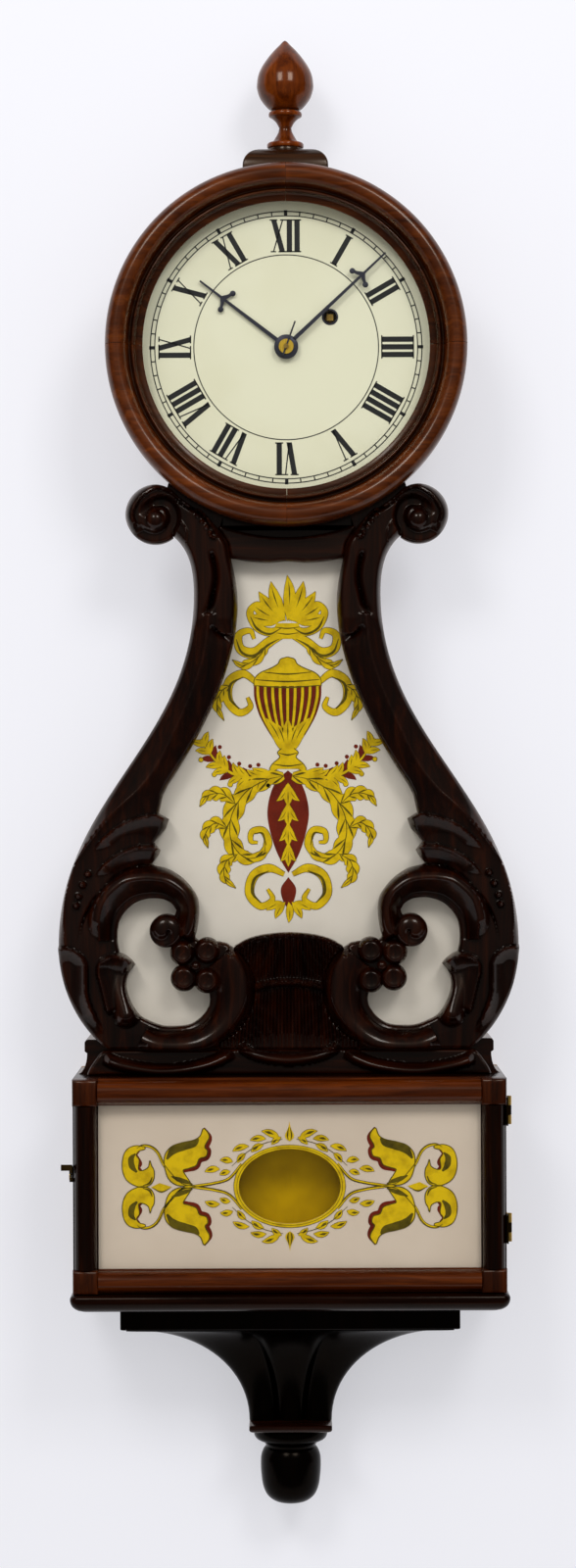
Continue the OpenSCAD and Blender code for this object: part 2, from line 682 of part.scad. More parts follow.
bridge_pin_r = 1.2;
cheek_t = 1.6;
cheek_gap = 1.6;
module suspension_bridge() color(brass) at_dial() difference() {
    union() {
        block(-9, 9, motion_d, motion_d + 2, verge_at.y + 4, verge_at.y + 13);
        block(-5, 5, motion_d + 2, swing_d + cheek_gap + cheek_t, verge_at.y + 4, verge_at.y + 9);
        for (d = [swing_d - cheek_gap - cheek_t, swing_d + cheek_gap])
            block(-5, 5, d, d + cheek_t, verge_at.y - 3, verge_at.y + 4);
    }
    rod(0, verge_at.y, bridge_pin_r + run_clear, swing_d - 4, swing_d + 4);
}

module centre_wheel() color(brass) at_dial() {
    difference() {
        rod(0, 0, arbor_r, pivot_d0, minute_hand_d + hand_t + collet_t + 2);
        taper_bar(taper_r + run_clear);
    }
    slab(great_d - 1, great_d + 3.5) polygon(gear(pinion_n, great_module, leaf_tooth, great_a + 180 / pinion_n));
    slab(centre_d, centre_d + 1.5) polygon(gear(centre_n, third_module, wheel_tooth, third_a));
}
module cannon_pinion() color(steel) at_dial() difference() {
    union() {
        rod(0, 0, cannon_r, motion_d + 0.4, minute_hand_d + hand_t);
        slab(minute_d - 0.7, minute_d + 2.2) polygon(gear(cannon_n, motion_module, leaf_tooth, motion_a + 180 / cannon_n));
    }
    rod(0, 0, arbor_r + run_clear, motion_d, dial_front + 20);
}
module minute_wheel() color(brass) at_dial() translate([motion_at.x, 0, motion_at.y]) difference() {
    union() {
        slab(minute_d, minute_d + 1.5) polygon(gear(minute_n, motion_module, wheel_tooth, motion_a + 180));
        rod(0, 0, 2.4, minute_d, hour_d);
        slab(hour_d - 1, hour_d + 2.5) polygon(
            gear(minute_pinion_n, hour_module, leaf_tooth, motion_a + 180 + 180 / minute_pinion_n));
    }
    rod(0, 0, minute_post_r + run_clear, motion_d - 1, hour_d + 6);
}
module hour_wheel() color(brass) at_dial() difference() {
    union() {
        slab(hour_d, hour_d + 1.5) polygon(gear(hour_n, hour_module, wheel_tooth, motion_a));
        rod(0, 0, hour_pipe_r, hour_d - 3, hour_hand_d + hand_t);
    }
    rod(0, 0, cannon_r + run_clear, motion_d, dial_front + 20);
}

// Hands with a hub, a tapering blade and a barbed cross-piece that ends in two balls
module hand_shape(len, hub_r, w, barb, reach, angle) rotate(-angle) {
    circle(r = hub_r);
    polygon([[-w / 2, 0], [w / 2, 0], [w / 3, barb + 4], [0.35, len], [-0.35, len], [-w / 3, barb + 4]]);
    for (s = [-1, 1]) {
        bar([0, barb + 3], [s * reach * 0.55, barb + 1.5], 1.3);
        bar([s * reach * 0.5, barb + 1.7], [s * reach, barb - 3.4], 1.3);
        translate([s * reach, barb - 3.4]) circle(r = 1.5);
    }
}
module minute_hand() color(blued) at_dial() slab(minute_hand_d, minute_hand_d + hand_t) difference() {
    hand_shape(minute_l, 6.5, 3, minute_l * 0.76, 6.8, minute_angle);
    circle(r = cannon_r + run_clear);
}
module hour_hand() color(blued) at_dial() slab(hour_hand_d, hour_hand_d + hand_t) difference() {
    hand_shape(hour_l, 8.6, 3.6, hour_l * 0.70, 7.4, hour_angle);
    circle(r = hour_pipe_r + run_clear);
}
collet_d = minute_hand_d + hand_t;
taper_r = 0.6;
taper_a = 20;
taper_l = 26;
taper_tail = 7;
module hand_collet() color(brass) at_dial() difference() {
    rod(0, 0, 5.3, collet_d, collet_d + collet_t);
    rod(0, 0, arbor_r + run_clear, collet_d - 1, collet_d + collet_t + 1);
}
module taper_bar(r) translate([0, -collet_d - collet_t - taper_r, 0]) rotate([0, taper_a, 0])
    translate([0, 0, -taper_tail]) cylinder(r = r, h = taper_l);
module taper_pin() color(steel) at_dial() taper_bar(taper_r);

module great_wheel() color(brass) at_dial() translate([great_at.x, 0, great_at.y]) {
    difference() {
        slab(great_d, great_d + 2.5) polygon(gear(great_n, great_module, wheel_tooth, great_a + 180));
        rod(0, 0, wind_arbor_r + run_clear, great_d - 1, great_d + 4);
    }
    rod(20, 0, click_stud_r, great_d - 2.2, great_d);
}
click_stud_r = 1.2;
ratchet_r = 12;
ratchet_n = 24;
click_tip = polar(ratchet_r + 1.6, 38);
module click() color(steel) at_dial() translate([great_at.x, 0, great_at.y])
    slab(great_d - 2.1, great_d - 0.2) difference() {
        union() {
            translate([20, 0]) circle(r = 2.6);
            bar([20, 0], click_tip, 2.2);
        }
        translate([20, 0]) circle(r = click_stud_r + run_clear);
    }
flange_r = 13;
wind_square = 4.6;
barrel_d0 = between_d + 2.5;
module winding_barrel() color(brass) at_dial() translate([great_at.x, 0, great_at.y]) {
    rod(0, 0, wind_arbor_r, pivot_d0, head_front - 9);
    block(-wind_square / 2, wind_square / 2, head_front - 9, head_front - 1, -wind_square / 2, wind_square / 2);
    rod(0, 0, flange_r, barrel_d0, barrel_d0 + 1.5);
    rod(0, 0, barrel_r, barrel_d0, great_d - 4);
    rod(0, 0, flange_r, great_d - 4, great_d - 2.6);
    slab(great_d - 2.6, great_d - 0.6) polygon([for (i = [0:ratchet_n - 1]) each [
        polar(ratchet_r, i * 360 / ratchet_n), polar(ratchet_r - 1.6, (i + 0.1) * 360 / ratchet_n)]]);
    rod(0, 0, 5, great_d + 2.8, great_d + 4.5);
}
module third_wheel() color(brass) at_dial() translate([third_at.x, 0, third_at.y]) {
    rod(0, 0, pivot_r, pivot_d0, pivot_d1);
    slab(centre_d - 1, centre_d + 2.5) polygon(gear(pinion_n, third_module, leaf_tooth, third_a + 180 + 180 / pinion_n));
    slab(third_d, third_d + 1.3) polygon(gear(third_n, escape_module, wheel_tooth, escape_a));
}
escape_r = 15;
module escape_wheel() color(brass) at_dial() translate([escape_at.x, 0, escape_at.y]) {
    rod(0, 0, pivot_r, pivot_d0, pivot_d1);
    slab(third_d - 1, third_d + 2.3) polygon(gear(pinion_n, escape_module, leaf_tooth, escape_a + 180 + 180 / pinion_n));
    slab(escape_d, escape_d + 1.3) polygon([for (i = [0:escape_n - 1]) each [
        polar(escape_r, i * 360 / escape_n), polar(escape_r, (i + 0.06) * 360 / escape_n),
        polar(escape_r - 3, (i + 0.35) * 360 / escape_n), polar(escape_r - 3, (i + 0.75) * 360 / escape_n)]]);
}

// Verge: anchor, arbor and the crutch that embraces the pendulum rod
verge_line = verge_at - escape_at;
verge_a = atan2(verge_line.y, verge_line.x);
pallet_r = escape_r + 2;
pallet_span = 41;
crutch_d = motion_d + 1.5;
crutch_l = 14;
module verge() color(steel) at_dial() {
    rod(0, verge_at.y, pivot_r, pivot_d0, crutch_d + 2);
    slab(escape_d - 0.4, escape_d + 1.8) {
        translate(verge_at) circle(r = 3.2);
        for (s = [-1, 1]) {
            tip = escape_at + polar(pallet_r, verge_a + s * pallet_span);
            knee = escape_at + polar(pallet_r + 7, verge_a + s * (pallet_span + 4));
            bar(verge_at, knee, 2.4);
            bar(knee, tip, 2);
        }
    }
    slab(crutch_d, crutch_d + 2) bar(verge_at, verge_at - [0, crutch_l], 3);
    for (s = [-1, 1]) block(s * (rod_r + 1.1) - 0.7, s * (rod_r + 1.1) + 0.7, crutch_d, swing_d + 3,
                            verge_at.y - crutch_l - 2, verge_at.y - crutch_l);
    block(-rod_r - 1.8, rod_r + 1.8, crutch_d, crutch_d + 2, verge_at.y - crutch_l - 2, verge_at.y - crutch_l);
}

// Pendulum: suspension strip, ring round the hour pipe, rod, bob, rating nut
ring_r = 29;
ring_w = 4;
ring_t = 2;
strip_w = 6;
strip_t = 1;
nut_r = 6;
nut_h = 4;
module pendulum_rod() color(brass) at_dial() {
    rod(0, verge_at.y, bridge_pin_r, swing_d - 3, swing_d + 3);
    block(-strip_w / 2, strip_w / 2, swing_d - strip_t / 2, swing_d + strip_t / 2, 44, verge_at.y + 2);
    translate([0, -swing_d, ring_r]) cylinder(r = rod_r, h = 45 - ring_r);
    slab(swing_d - ring_t / 2, swing_d + ring_t / 2) difference() {
        circle(r = ring_r + ring_w / 2);
        circle(r = ring_r - ring_w / 2);
    }
    translate([0, -swing_d, -bob_drop - bob_r - nut_h - 6])
        cylinder(r = rod_r, h = bob_drop + bob_r + nut_h + 6 - ring_r);
}
bob_layers = [[0.5, 0.72], [0.25, 0.95], [0, 1]];
module bob_half() for (i = [0, 1]) translate([0, 0, bob_layers[i + 1][0] * bob_t])
    cylinder(r1 = bob_layers[i + 1][1] * bob_r, r2 = bob_layers[i][1] * bob_r,
             h = (bob_layers[i][0] - bob_layers[i + 1][0]) * bob_t);
module pendulum_bob() color(brass) at_dial() translate([0, -swing_d, -bob_drop]) difference() {
    rotate([90, 0, 0]) union() {
        bob_half();
        mirror([0, 0, 1]) bob_half();
    }
    translate([0, 0, -bob_r - 1]) cylinder(r = rod_r + run_clear, h = 2 * bob_r + 2);
}
module rating_nut() color(brass) at_dial() translate([0, -swing_d, -bob_drop - bob_r - nut_h - shut_gap])
    difference() {
        cylinder(r = nut_r, h = nut_h);
        translate([0, 0, -1]) cylinder(r = rod_r + run_clear, h = nut_h + 2);
    }

// Weight, its pulley and the line, drawn with the weight at its lowest
line_d = (barrel_d0 + great_d) / 2;
groove_r = (line_right - line_left) / 2 - line_r - 0.1;
yoke_h = 12;
floor_gap = 27.15;
pulley_drop = base_drop - floor_gap - weight_h - yoke_h - groove_r;
pulley_at = [(line_right + line_left) / 2, -pulley_drop];
pulley_hw = 2.5;
axle_r = 1.5;
yoke_gap = 0.4;
yoke_t = 1.5;
weight_top = -pulley_drop - groove_r - yoke_h;
module weight() color(iron) at_dial() translate([pulley_at.x, 0, 0]) {
    block(-weight_w / 2, weight_w / 2, line_d - weight_d / 2, line_d + weight_d / 2,
          weight_top - weight_h, weight_top);
    for (s = [-1, 1]) {
        d = line_d + s * (pulley_hw + yoke_gap + yoke_t / 2);
        block(-4, 4, d - yoke_t / 2, d + yoke_t / 2, weight_top, pulley_at.y + 4);
    }
    rod(0, pulley_at.y, axle_r, line_d - pulley_hw - yoke_gap - yoke_t, line_d + pulley_hw + yoke_gap + yoke_t);
}
module weight_pulley() color(brass) at_dial() turned(pulley_at.x, pulley_at.y) polygon([
    [axle_r + run_clear, line_d - pulley_hw], [groove_r + 3, line_d - pulley_hw], [groove_r, line_d - 0.8],
    [groove_r, line_d + 0.8], [groove_r + 3, line_d + pulley_hw], [axle_r + run_clear, line_d + pulley_hw]
]);
module weight_line() color(pine) at_dial() {
    translate([line_right, -line_d, pulley_at.y]) cylinder(r = line_r, h = great_at.y + pulley_drop);
    translate([line_left, -line_d, pulley_at.y])
        cylinder(r = line_r, h = tie_z - tie_r - 0.1 + pulley_drop);
    translate([pulley_at.x, -line_d, pulley_at.y]) rotate([90, 0, 0]) rotate([0, 0, 180])
        rotate_extrude(angle = 180) translate([groove_r + line_r + 0.1, 0]) circle(r = line_r);
}

// Bezel: four quarter segments with joints at twelve, three, six and nine
rabbet = 3.3;
lip_h = 2.5;
bezel_glass_front = bezel_glass_d + bezel_glass_t;
round_r = bezel_round_w / 2;
round_at = [bezel_r - round_r, bezel_front - round_r];
fillet_in = bezel_r - bezel_round_w - 2;
fillet_d = bezel_front - round_r - 0.8;
module bezel_profile() polygon(concat(
    [[opening_r + rabbet, bezel_back], [bezel_r - 1.5, bezel_back], [bezel_r, bezel_back + 4]],
    arc(round_at, round_r, 0, 180, 16),
    [[bezel_r - bezel_round_w, fillet_d]],
    curve([[fillet_in, fillet_d], [fillet_in - 4, fillet_d - 0.5],
           [opening_r + 1.5, bezel_glass_front + lip_h + 3], [opening_r, bezel_glass_front + lip_h]], 6),
    [[opening_r, bezel_glass_front + lip_h], [opening_r, bezel_glass_front],
     [opening_r + rabbet, bezel_glass_front]]
));
bezel_leaf_reach = 15;
module bezel_segments() color(mahogany) at_dial() difference() {
    for (k = [0:3]) rotate([90, 0, 0]) rotate([0, 0, 90 * k]) rotate_extrude(angle = 90) bezel_profile();
    translate([bezel_pin_x, -bezel_pin_d, -bezel_leaf_h / 2 - 0.5])
        cylinder(r = knuckle_r + 0.5, h = bezel_leaf_h + 1);
    block(bezel_pin_x - bezel_leaf_reach - 0.2, bezel_pin_x, bezel_back - 1, bezel_back + leaf_t,
          -bezel_leaf_h / 2 - 0.2, bezel_leaf_h / 2 + 0.2);
}
module bezel_glass() color(ivory, 0.3) at_dial()
    rod(0, 0, opening_r + rabbet - shut_gap, bezel_glass_d, bezel_glass_front);

// Hinges: the case carries the outer knuckles, and the moving leaf the middle one with its pin
knuckle_gap = 0.3;
module knuckle(x, d, z0, z1) translate([x, -d, z0]) difference() {
    cylinder(r = knuckle_r, h = z1 - z0);
    translate([0, 0, -1]) cylinder(r = hinge_pin_r + run_clear, h = z1 - z0 + 2);
}
module outer_knuckles(x, d, z, h) for (s = [-1, 1]) {
    z0 = min(s * h / 6, s * h / 2) + (s > 0 ? knuckle_gap : 0);
    knuckle(x, d, z + z0, z + z0 + h / 3 - knuckle_gap);
}
module middle_knuckle(x, d, z, h) {
    translate([x, -d, z - h / 6]) cylinder(r = knuckle_r, h = h / 3);
    translate([x, -d, z - h / 2]) cylinder(r = hinge_pin_r, h = h);
}
door_pin_x = box_hw + knuckle_r + shut_gap;
door_pin_d = box_front + door_gap / 2;
door_leaf_l = 14;
pin_room = 0.6;
module case_hinge_leaves() color(brass) at_dial() {
    for (z = hinge_z) difference() {
        union() {
            block(box_hw, box_hw + leaf_t, door_pin_d - door_leaf_l, door_pin_d, z - leaf_h / 2, z + leaf_h / 2);
            outer_knuckles(door_pin_x, door_pin_d, z, leaf_h);
        }
        block(box_hw - 1, box_hw + 3 * knuckle_r, door_pin_d - knuckle_r - pin_room, door_pin_d + knuckle_r + 1,
              z - leaf_h / 6 - knuckle_gap, z + leaf_h / 6 + knuckle_gap);
        translate([door_pin_x, -door_pin_d, z - leaf_h]) cylinder(r = hinge_pin_r + run_clear, h = 2 * leaf_h);
    }
    difference() {
        union() {
            block(leaf_flat_x, leaf_flat_x + leaf_t, head_front - 17.8, bezel_pin_d - knuckle_r + leaf_t,
                  -bezel_leaf_h / 2, bezel_leaf_h / 2);
            block(leaf_flat_x, bezel_pin_x, bezel_pin_d - knuckle_r, bezel_pin_d - knuckle_r + leaf_t,
                  -bezel_leaf_h / 2, bezel_leaf_h / 2);
            outer_knuckles(bezel_pin_x, bezel_pin_d, 0, bezel_leaf_h);
        }
        block(bezel_pin_x - knuckle_r - pin_room, bezel_pin_x + 2 * knuckle_r, bezel_pin_d - 2 * knuckle_r,
              bezel_pin_d + 2 * knuckle_r, -bezel_leaf_h / 6 - knuckle_gap, bezel_leaf_h / 6 + knuckle_gap);
        translate([bezel_pin_x, -bezel_pin_d, -bezel_leaf_h])
            cylinder(r = hinge_pin_r + run_clear, h = 2 * bezel_leaf_h);
    }
}
module bezel_hinge_leaf() color(brass) at_dial() {
    difference() {
        block(bezel_pin_x - bezel_leaf_reach, bezel_pin_x, bezel_back, bezel_back + leaf_t,
              -bezel_leaf_h / 2, bezel_leaf_h / 2);
        for (s = [-1, 1]) translate([bezel_pin_x, -bezel_pin_d, s * bezel_leaf_h / 3 - bezel_leaf_h / 6 - knuckle_gap])
            cylinder(r = knuckle_r + pin_room, h = bezel_leaf_h / 3 + 2 * knuckle_gap);
    }
    middle_knuckle(bezel_pin_x, bezel_pin_d, 0, bezel_leaf_h);
}
module door_hinge_leaves() color(brass) at_dial() for (z = hinge_z) {
    difference() {
        block(box_hw, box_hw + leaf_t, door_pin_d, door_pin_d + door_leaf_l, z - leaf_h / 2, z + leaf_h / 2);
        for (s = [-1, 1]) translate([door_pin_x, -door_pin_d, z + s * leaf_h / 3 - leaf_h / 6 - knuckle_gap])
            cylinder(r = knuckle_r + pin_room, h = leaf_h / 3 + 2 * knuckle_gap);
    }
    middle_knuckle(door_pin_x, door_pin_d, z, leaf_h);
}

// Box door: half-round rails and stiles between square corner blocks, with a glass in their rabbet
opening_hw = box_hw - stile_w;
door_low = box_drop + door_h;
glass_seat = 4.5;
glass_d = door_back + 3;
glass_front = glass_d + box_glass_t;
rail_base = 10;
function half_round(w) = concat(
    [[0, door_back], [0, door_back + rail_base]],
    [for (a = [165:-15:15]) [w / 2 + w / 2 * cos(a), door_back + rail_base + w / 2 * sin(a)]],
    [[w, door_back + rail_base], [w, door_back]]
);
module door_rabbet() block(-opening_hw - glass_seat - shut_gap, opening_hw + glass_seat + shut_gap,
    door_back - 1, glass_front, -door_low + low_rail_h - glass_seat - shut_gap,
    -box_drop - top_rail_h + glass_seat + shut_gap);
module rail(z, h) translate([-opening_hw, 0, z]) rotate([90, 0, 90]) linear_extrude(2 * opening_hw)
    polygon([for (p = half_round(h)) [-p.y, p.x]]);
module door_rails() color(mahogany) at_dial() difference() {
    union() {
        rail(-box_drop - top_rail_h, top_rail_h);
        rail(-door_low, low_rail_h);
    }
    door_rabbet();
}
module door_stiles() color(mahogany) at_dial() difference() {
    both_sides() translate([opening_hw, 0, -door_low + low_rail_h])
        linear_extrude(door_h - top_rail_h - low_rail_h) polygon([for (p = half_round(stile_w)) [p.x, -p.y]]);
    door_rabbet();
}
corner_front = door_back + rail_base + stile_w / 2 - 1;
module door_corner_blocks() color(mahogany) at_dial() difference() {
    both_sides() {
        block(opening_hw, box_hw, door_back, corner_front, -box_drop - top_rail_h, -box_drop);
        block(opening_hw, box_hw, door_back, corner_front, -door_low, -door_low + low_rail_h);
    }
    door_rabbet();
}
module box_glass() color(ivory, 0.5) at_dial() block(-opening_hw - glass_seat, opening_hw + glass_seat,
    glass_d, glass_front, -door_low + low_rail_h - glass_seat, -box_drop - top_rail_h + glass_seat);

// Side latch: a hook that drops over a pin on the door, drawn lifted clear of it
latch_lift = 16;
latch_x = -box_hw - shut_gap;
latch_t = 2;
latch_reach = 25;
latch_pin_r = 1.5;
hook_h = 6;
tab_out = 6;
module latch_pin() color(brass) at_dial() translate([-box_hw - shut_gap - latch_t, -latch_d - latch_reach, latch_z])
    rotate([0, 90, 0]) cylinder(r = latch_pin_r, h = latch_t + shut_gap);
module latch_hook() color(brass) at_dial() translate([latch_x, -latch_d, latch_z]) rotate([-latch_lift, 0, 0])
    difference() {
        union() {
            block(-latch_t, 0, -4, latch_reach + 5, -hook_h / 2, hook_h / 2);
            block(-latch_t - tab_out, 0, latch_reach + 3, latch_reach + 5, -1, hook_h / 2);
        }
        translate([-latch_t - 1, 0, 0]) rotate([90, 0, 90]) linear_extrude(latch_t + 2) polygon([
            [-latch_reach - 2.2, -hook_h], [-latch_reach - 1.8, 1.8], [-latch_reach + 1.8, 1.8],
            [-latch_reach + 3.6, -hook_h]]);
        translate([-latch_t - 1, 0, 0]) rotate([0, 90, 0]) cylinder(r = latch_screw_r + run_clear, h = latch_t + 2);
    }
module brass_screws() color(brass) {
    for (p = hanger_screws) rod(p.x, p.y, screw_r, 0, back_t - 2.5);
    at_dial() for (p = dial_screw_at) rod(p.x, p.y, dial_screw_r, head_front - 7, dial_front);
    at_dial() translate([latch_x - latch_t - 0.3, -latch_d, latch_z]) rotate([0, 90, 0])
        cylinder(r = latch_screw_r, h = latch_t + box_t - 2);
    at_dial() translate([latch_x - latch_t - 1.8, -latch_d, latch_z]) rotate([0, 90, 0])
        cylinder(r = 2 * latch_screw_r, h = 1.5);
}

backboard();
head_drum();
finial_block();
finial();
throat_sides();
left_arm();
right_arm();
top_rail();
fan_panel();
lyre_foot();
throat_glass();
glass_cleats();
plinth();
box_top();
box_sides();
base_moulding();
bracket_shelf();
bracket_corbel();
bracket_cap();
pendant_drop();
hanger_plate();
brass_screws();
baffle();
dial();
front_plate();
back_plate();
plate_pillars();
movement_posts();
suspension_bridge();
case_hinge_leaves();
bezel_segments();
bezel_glass();
bezel_hinge_leaf();
door_rails();
door_stiles();
door_corner_blocks();
box_glass();
door_hinge_leaves();
latch_pin();
latch_hook();
centre_wheel();
cannon_pinion();
minute_hand();
hand_collet();
taper_pin();
hour_wheel();
hour_hand();
minute_wheel();
great_wheel();
click();
winding_barrel();
third_wheel();
escape_wheel();
verge();
pendulum_rod();
pendulum_bob();
rating_nut();
weight();
weight_pulley();
weight_line();
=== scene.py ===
"""Looks of the lyre wall clock: carved front, turned bezel, painted tablets, dial print and materials."""
import math

import bmesh
import bpy
import numpy as np
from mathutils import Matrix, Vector, geometry


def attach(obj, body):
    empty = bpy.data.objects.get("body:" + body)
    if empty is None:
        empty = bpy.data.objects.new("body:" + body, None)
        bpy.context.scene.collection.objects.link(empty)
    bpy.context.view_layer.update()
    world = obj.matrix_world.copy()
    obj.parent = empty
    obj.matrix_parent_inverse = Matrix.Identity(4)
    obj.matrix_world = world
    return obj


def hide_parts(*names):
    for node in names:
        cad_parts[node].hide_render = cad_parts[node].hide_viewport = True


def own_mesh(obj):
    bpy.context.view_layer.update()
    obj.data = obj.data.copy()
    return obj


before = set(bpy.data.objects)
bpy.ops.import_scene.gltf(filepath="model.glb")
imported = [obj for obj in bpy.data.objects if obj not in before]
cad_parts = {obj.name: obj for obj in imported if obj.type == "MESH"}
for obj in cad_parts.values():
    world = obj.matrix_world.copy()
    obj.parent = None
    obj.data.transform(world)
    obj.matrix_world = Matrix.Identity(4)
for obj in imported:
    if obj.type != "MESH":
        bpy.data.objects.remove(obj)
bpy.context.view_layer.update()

# Shared sizes, in millimetres: x right, z up from the dial centre, d in front of the wall
DIAL_DROP = 84.0
FRAME_BACK = 68.0
FRAME_FRONT = 82.0
NECK = (67.0, -177.0)
BULB = (165.2, -430.0)
FOOT_TOP = -504.4
BOX_TOP = -522.4
BOX_HW = 153.8
BASE_TOP = -674.9
DOOR_BACK = 100.5


def at(x, d, z):
    """Place in metres of a point given in millimetres from the dial centre."""
    return (x / 1000, -d / 1000, (z - DIAL_DROP) / 1000)


def srgb(r, g, b):
    """Linear colour of a picture colour in 0 to 255."""
    return tuple((c / 255) ** 2.2 for c in (r, g, b)) + (1.0,)


# Mesh helpers
MERGE, ON_AXIS = 1e-6, 1e-6


def add_object(name, data):
    obj = bpy.data.objects.new(name, data)
    bpy.context.scene.collection.objects.link(obj)
    return obj


def place(obj, body, slot, *nodes):
    """Ride on a body and stand for CAD nodes, which it hides; the slot is not used."""
    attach(obj, body)
    if nodes:
        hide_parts(*nodes)
    return obj


class Shell:
    """Collects closed shells in millimetres for one object."""

    def __init__(self):
        self.verts = []
        self.faces = []

    def add(self, verts, faces):
        start = len(self.verts)
        self.verts += [at(*v) for v in verts]
        self.faces += [[start + i for i in f] for f in faces]

    def stack(self, rings):
        """Closed skin over rings that have as many points each."""
        n = len(rings[0])
        last = (len(rings) - 1) * n
        faces = [list(range(n)), list(range(last + n - 1, last - 1, -1))]
        for a in range(0, last, n):
            faces += [[a + i, a + (i + 1) % n, a + n + (i + 1) % n, a + n + i] for i in range(n)]
        self.add([v for ring in rings for v in ring], faces)

    def prism(self, points, d0, d1):
        """Flat outline in x and z, thickened from depth d0 to d1."""
        self.stack([[(x, d, z) for x, z in points] for d in (d0, d1)])

    def loft(self, levels):
        """Level outlines one above the other: each is its height and a list of x and depth."""
        self.stack([[(x, d, z) for x, d in points] for z, points in levels])

    def ring_strip(self, outer, inner, d0, d1):
        """Closed band between two outlines with as many points."""
        n = len(outer)
        verts = [(x, d, z) for d in (d0, d1) for x, z in list(outer) + list(inner)]
        faces = []
        for i in range(n):
            j = (i + 1) % n
            faces += [[i, j, n + j, n + i], [2 * n + i, 3 * n + i, 3 * n + j, 2 * n + j]]
            faces += [[i, 2 * n + i, 2 * n + j, j], [n + i, n + j, 3 * n + j, 3 * n + i]]
        self.add(verts, faces)

    def turn(self, outline, centre, axis, steps=96, start=0.0, sweep=360.0):
        """Surface of revolution of (radius, height) about the depth or the upright axis."""
        whole = sweep >= 360
        count = steps if whole else steps + 1
        m = len(outline)
        verts = []
        for k in range(count):
            a = math.radians(start + sweep * k / steps)
            for r, h in outline:
                if axis == "d":
                    verts.append((centre[0] + r * math.cos(a), h, centre[2] + r * math.sin(a)))
                else:
                    verts.append((centre[0] + r * math.cos(a), centre[1] + r * math.sin(a), centre[2] + h))
        faces = []
        closed = outline[0][0] > ON_AXIS and outline[-1][0] > ON_AXIS
        for k in range(steps):
            a, b = k * m, ((k + 1) % count) * m
            for i in range(m if closed else m - 1):
                j = (i + 1) % m
                faces.append([a + i, a + j, b + j, b + i])
        if not whole:
            faces += [list(range(m)), list(range((count - 1) * m + m - 1, (count - 1) * m - 1, -1))]
        self.add(verts, faces)

    def build(self, name, material, sharp=40):
        """Object with welded points and smooth shading that breaks at sharp edges."""
        mesh = bpy.data.meshes.new(name)
        mesh.from_pydata(self.verts, [], self.faces)
        bm = bmesh.new()
        bm.from_mesh(mesh)
        bmesh.ops.recalc_face_normals(bm, faces=bm.faces)
        bmesh.ops.remove_doubles(bm, verts=bm.verts, dist=MERGE)
        bmesh.ops.dissolve_degenerate(bm, edges=bm.edges, dist=MERGE)
        bmesh.ops.recalc_face_normals(bm, faces=bm.faces)
        bm.to_mesh(mesh)
        bm.free()
        mesh.polygons.foreach_set("use_smooth", [True] * len(mesh.polygons))
        mesh.set_sharp_from_angle(angle=math.radians(sharp))
        mesh.materials.append(material)
        return add_object(name, mesh)


# Curve helpers
def arc(centre, r, a0, a1, n):
    turns = [math.radians(a0 + (a1 - a0) * i / n) for i in range(n + 1)]
    return [(centre[0] + r * math.cos(a), centre[1] + r * math.sin(a)) for a in turns]


def bezier(p, n):
    a, b, c, d = (np.array(q, float) for q in p)
    out = []
    for i in range(n + 1):
        t = i / n
        u = 1 - t
        out.append(tuple(u ** 3 * a + 3 * u ** 2 * t * b + 3 * u * t * t * c + t ** 3 * d))
    return out


def smooth(points, n=8):
    """Curve through the given points."""
    p = [np.array(q, float) for q in points]
    p = [2 * p[0] - p[1]] + p + [2 * p[-1] - p[-2]]
    out = []
    for i in range(1, len(p) - 2):
        for k in range(n):
            t = k / n
            out.append(tuple(0.5 * (2 * p[i] + (p[i + 1] - p[i - 1]) * t
                                    + (2 * p[i - 1] - 5 * p[i] + 4 * p[i + 1] - p[i + 2]) * t * t
                                    + (3 * p[i] - p[i - 1] - 3 * p[i + 1] + p[i + 2]) * t ** 3)))
    return out + [tuple(p[-2])]


def directed(points):
    """Points of a line as an array, and the direction of the line at each of them."""
    p = np.array(points, float)
    t = np.gradient(p, axis=0)
    return p, t / np.linalg.norm(t, axis=1)[:, None]


def inset(points, d):
    """Open line moved sideways by d."""
    p, t = directed(points)
    return [tuple(v) for v in p + d * np.stack([t[:, 1], -t[:, 0]], 1)]


def mirrored(points):
    return [(-x, z) for x, z in reversed(points)]


def both_sides(half):
    """Line from left to right, given its right half from the middle outwards."""
    return mirrored(half)[:-1] + half


def ellipse(cx, cz, rx, rz, n=96):
    turns = [2 * math.pi * i / n for i in range(n)]
    return [(cx + rx * math.cos(a), cz + rz * math.sin(a)) for a in turns]


# Materials
def new_material(name):
    material = bpy.data.materials.new(name)
    material.use_nodes = True
    return material, material.node_tree, material.node_tree.nodes["Principled BSDF"]


def set_inputs(tree, node, values):
    """Link each named input to a socket, or set its value."""
    for key, value in values.items():
        if isinstance(value, bpy.types.NodeSocket):
            tree.links.new(value, node.inputs[key])
        else:
            node.inputs[key].default_value = value


def add_node(tree, kind, inputs=None, **properties):
    node = tree.nodes.new("ShaderNode" + kind)
    for key, value in properties.items():
        setattr(node, key, value)
    set_inputs(tree, node, inputs or {})
    return node


def blend_surface(tree, factor, first, second):
    """Material surface that goes from one shader to another."""
    blend = add_node(tree, "MixShader", {"Fac": factor, 1: first, 2: second})
    (out,) = [n for n in tree.nodes if n.type == "OUTPUT_MATERIAL"]
    tree.links.new(blend.outputs["Shader"], out.inputs["Surface"])


def ramp(tree, factor, *stops):
    node = add_node(tree, "ValToRGB", {"Fac": factor})
    elements = node.color_ramp.elements
    while len(elements) < len(stops):
        elements.new(0.5)
    for element, (place_at, colour) in zip(elements, stops):
        element.position = place_at
        element.color = colour
    return node.outputs["Color"]


def grey(v):
    return (v, v, v, 1.0)


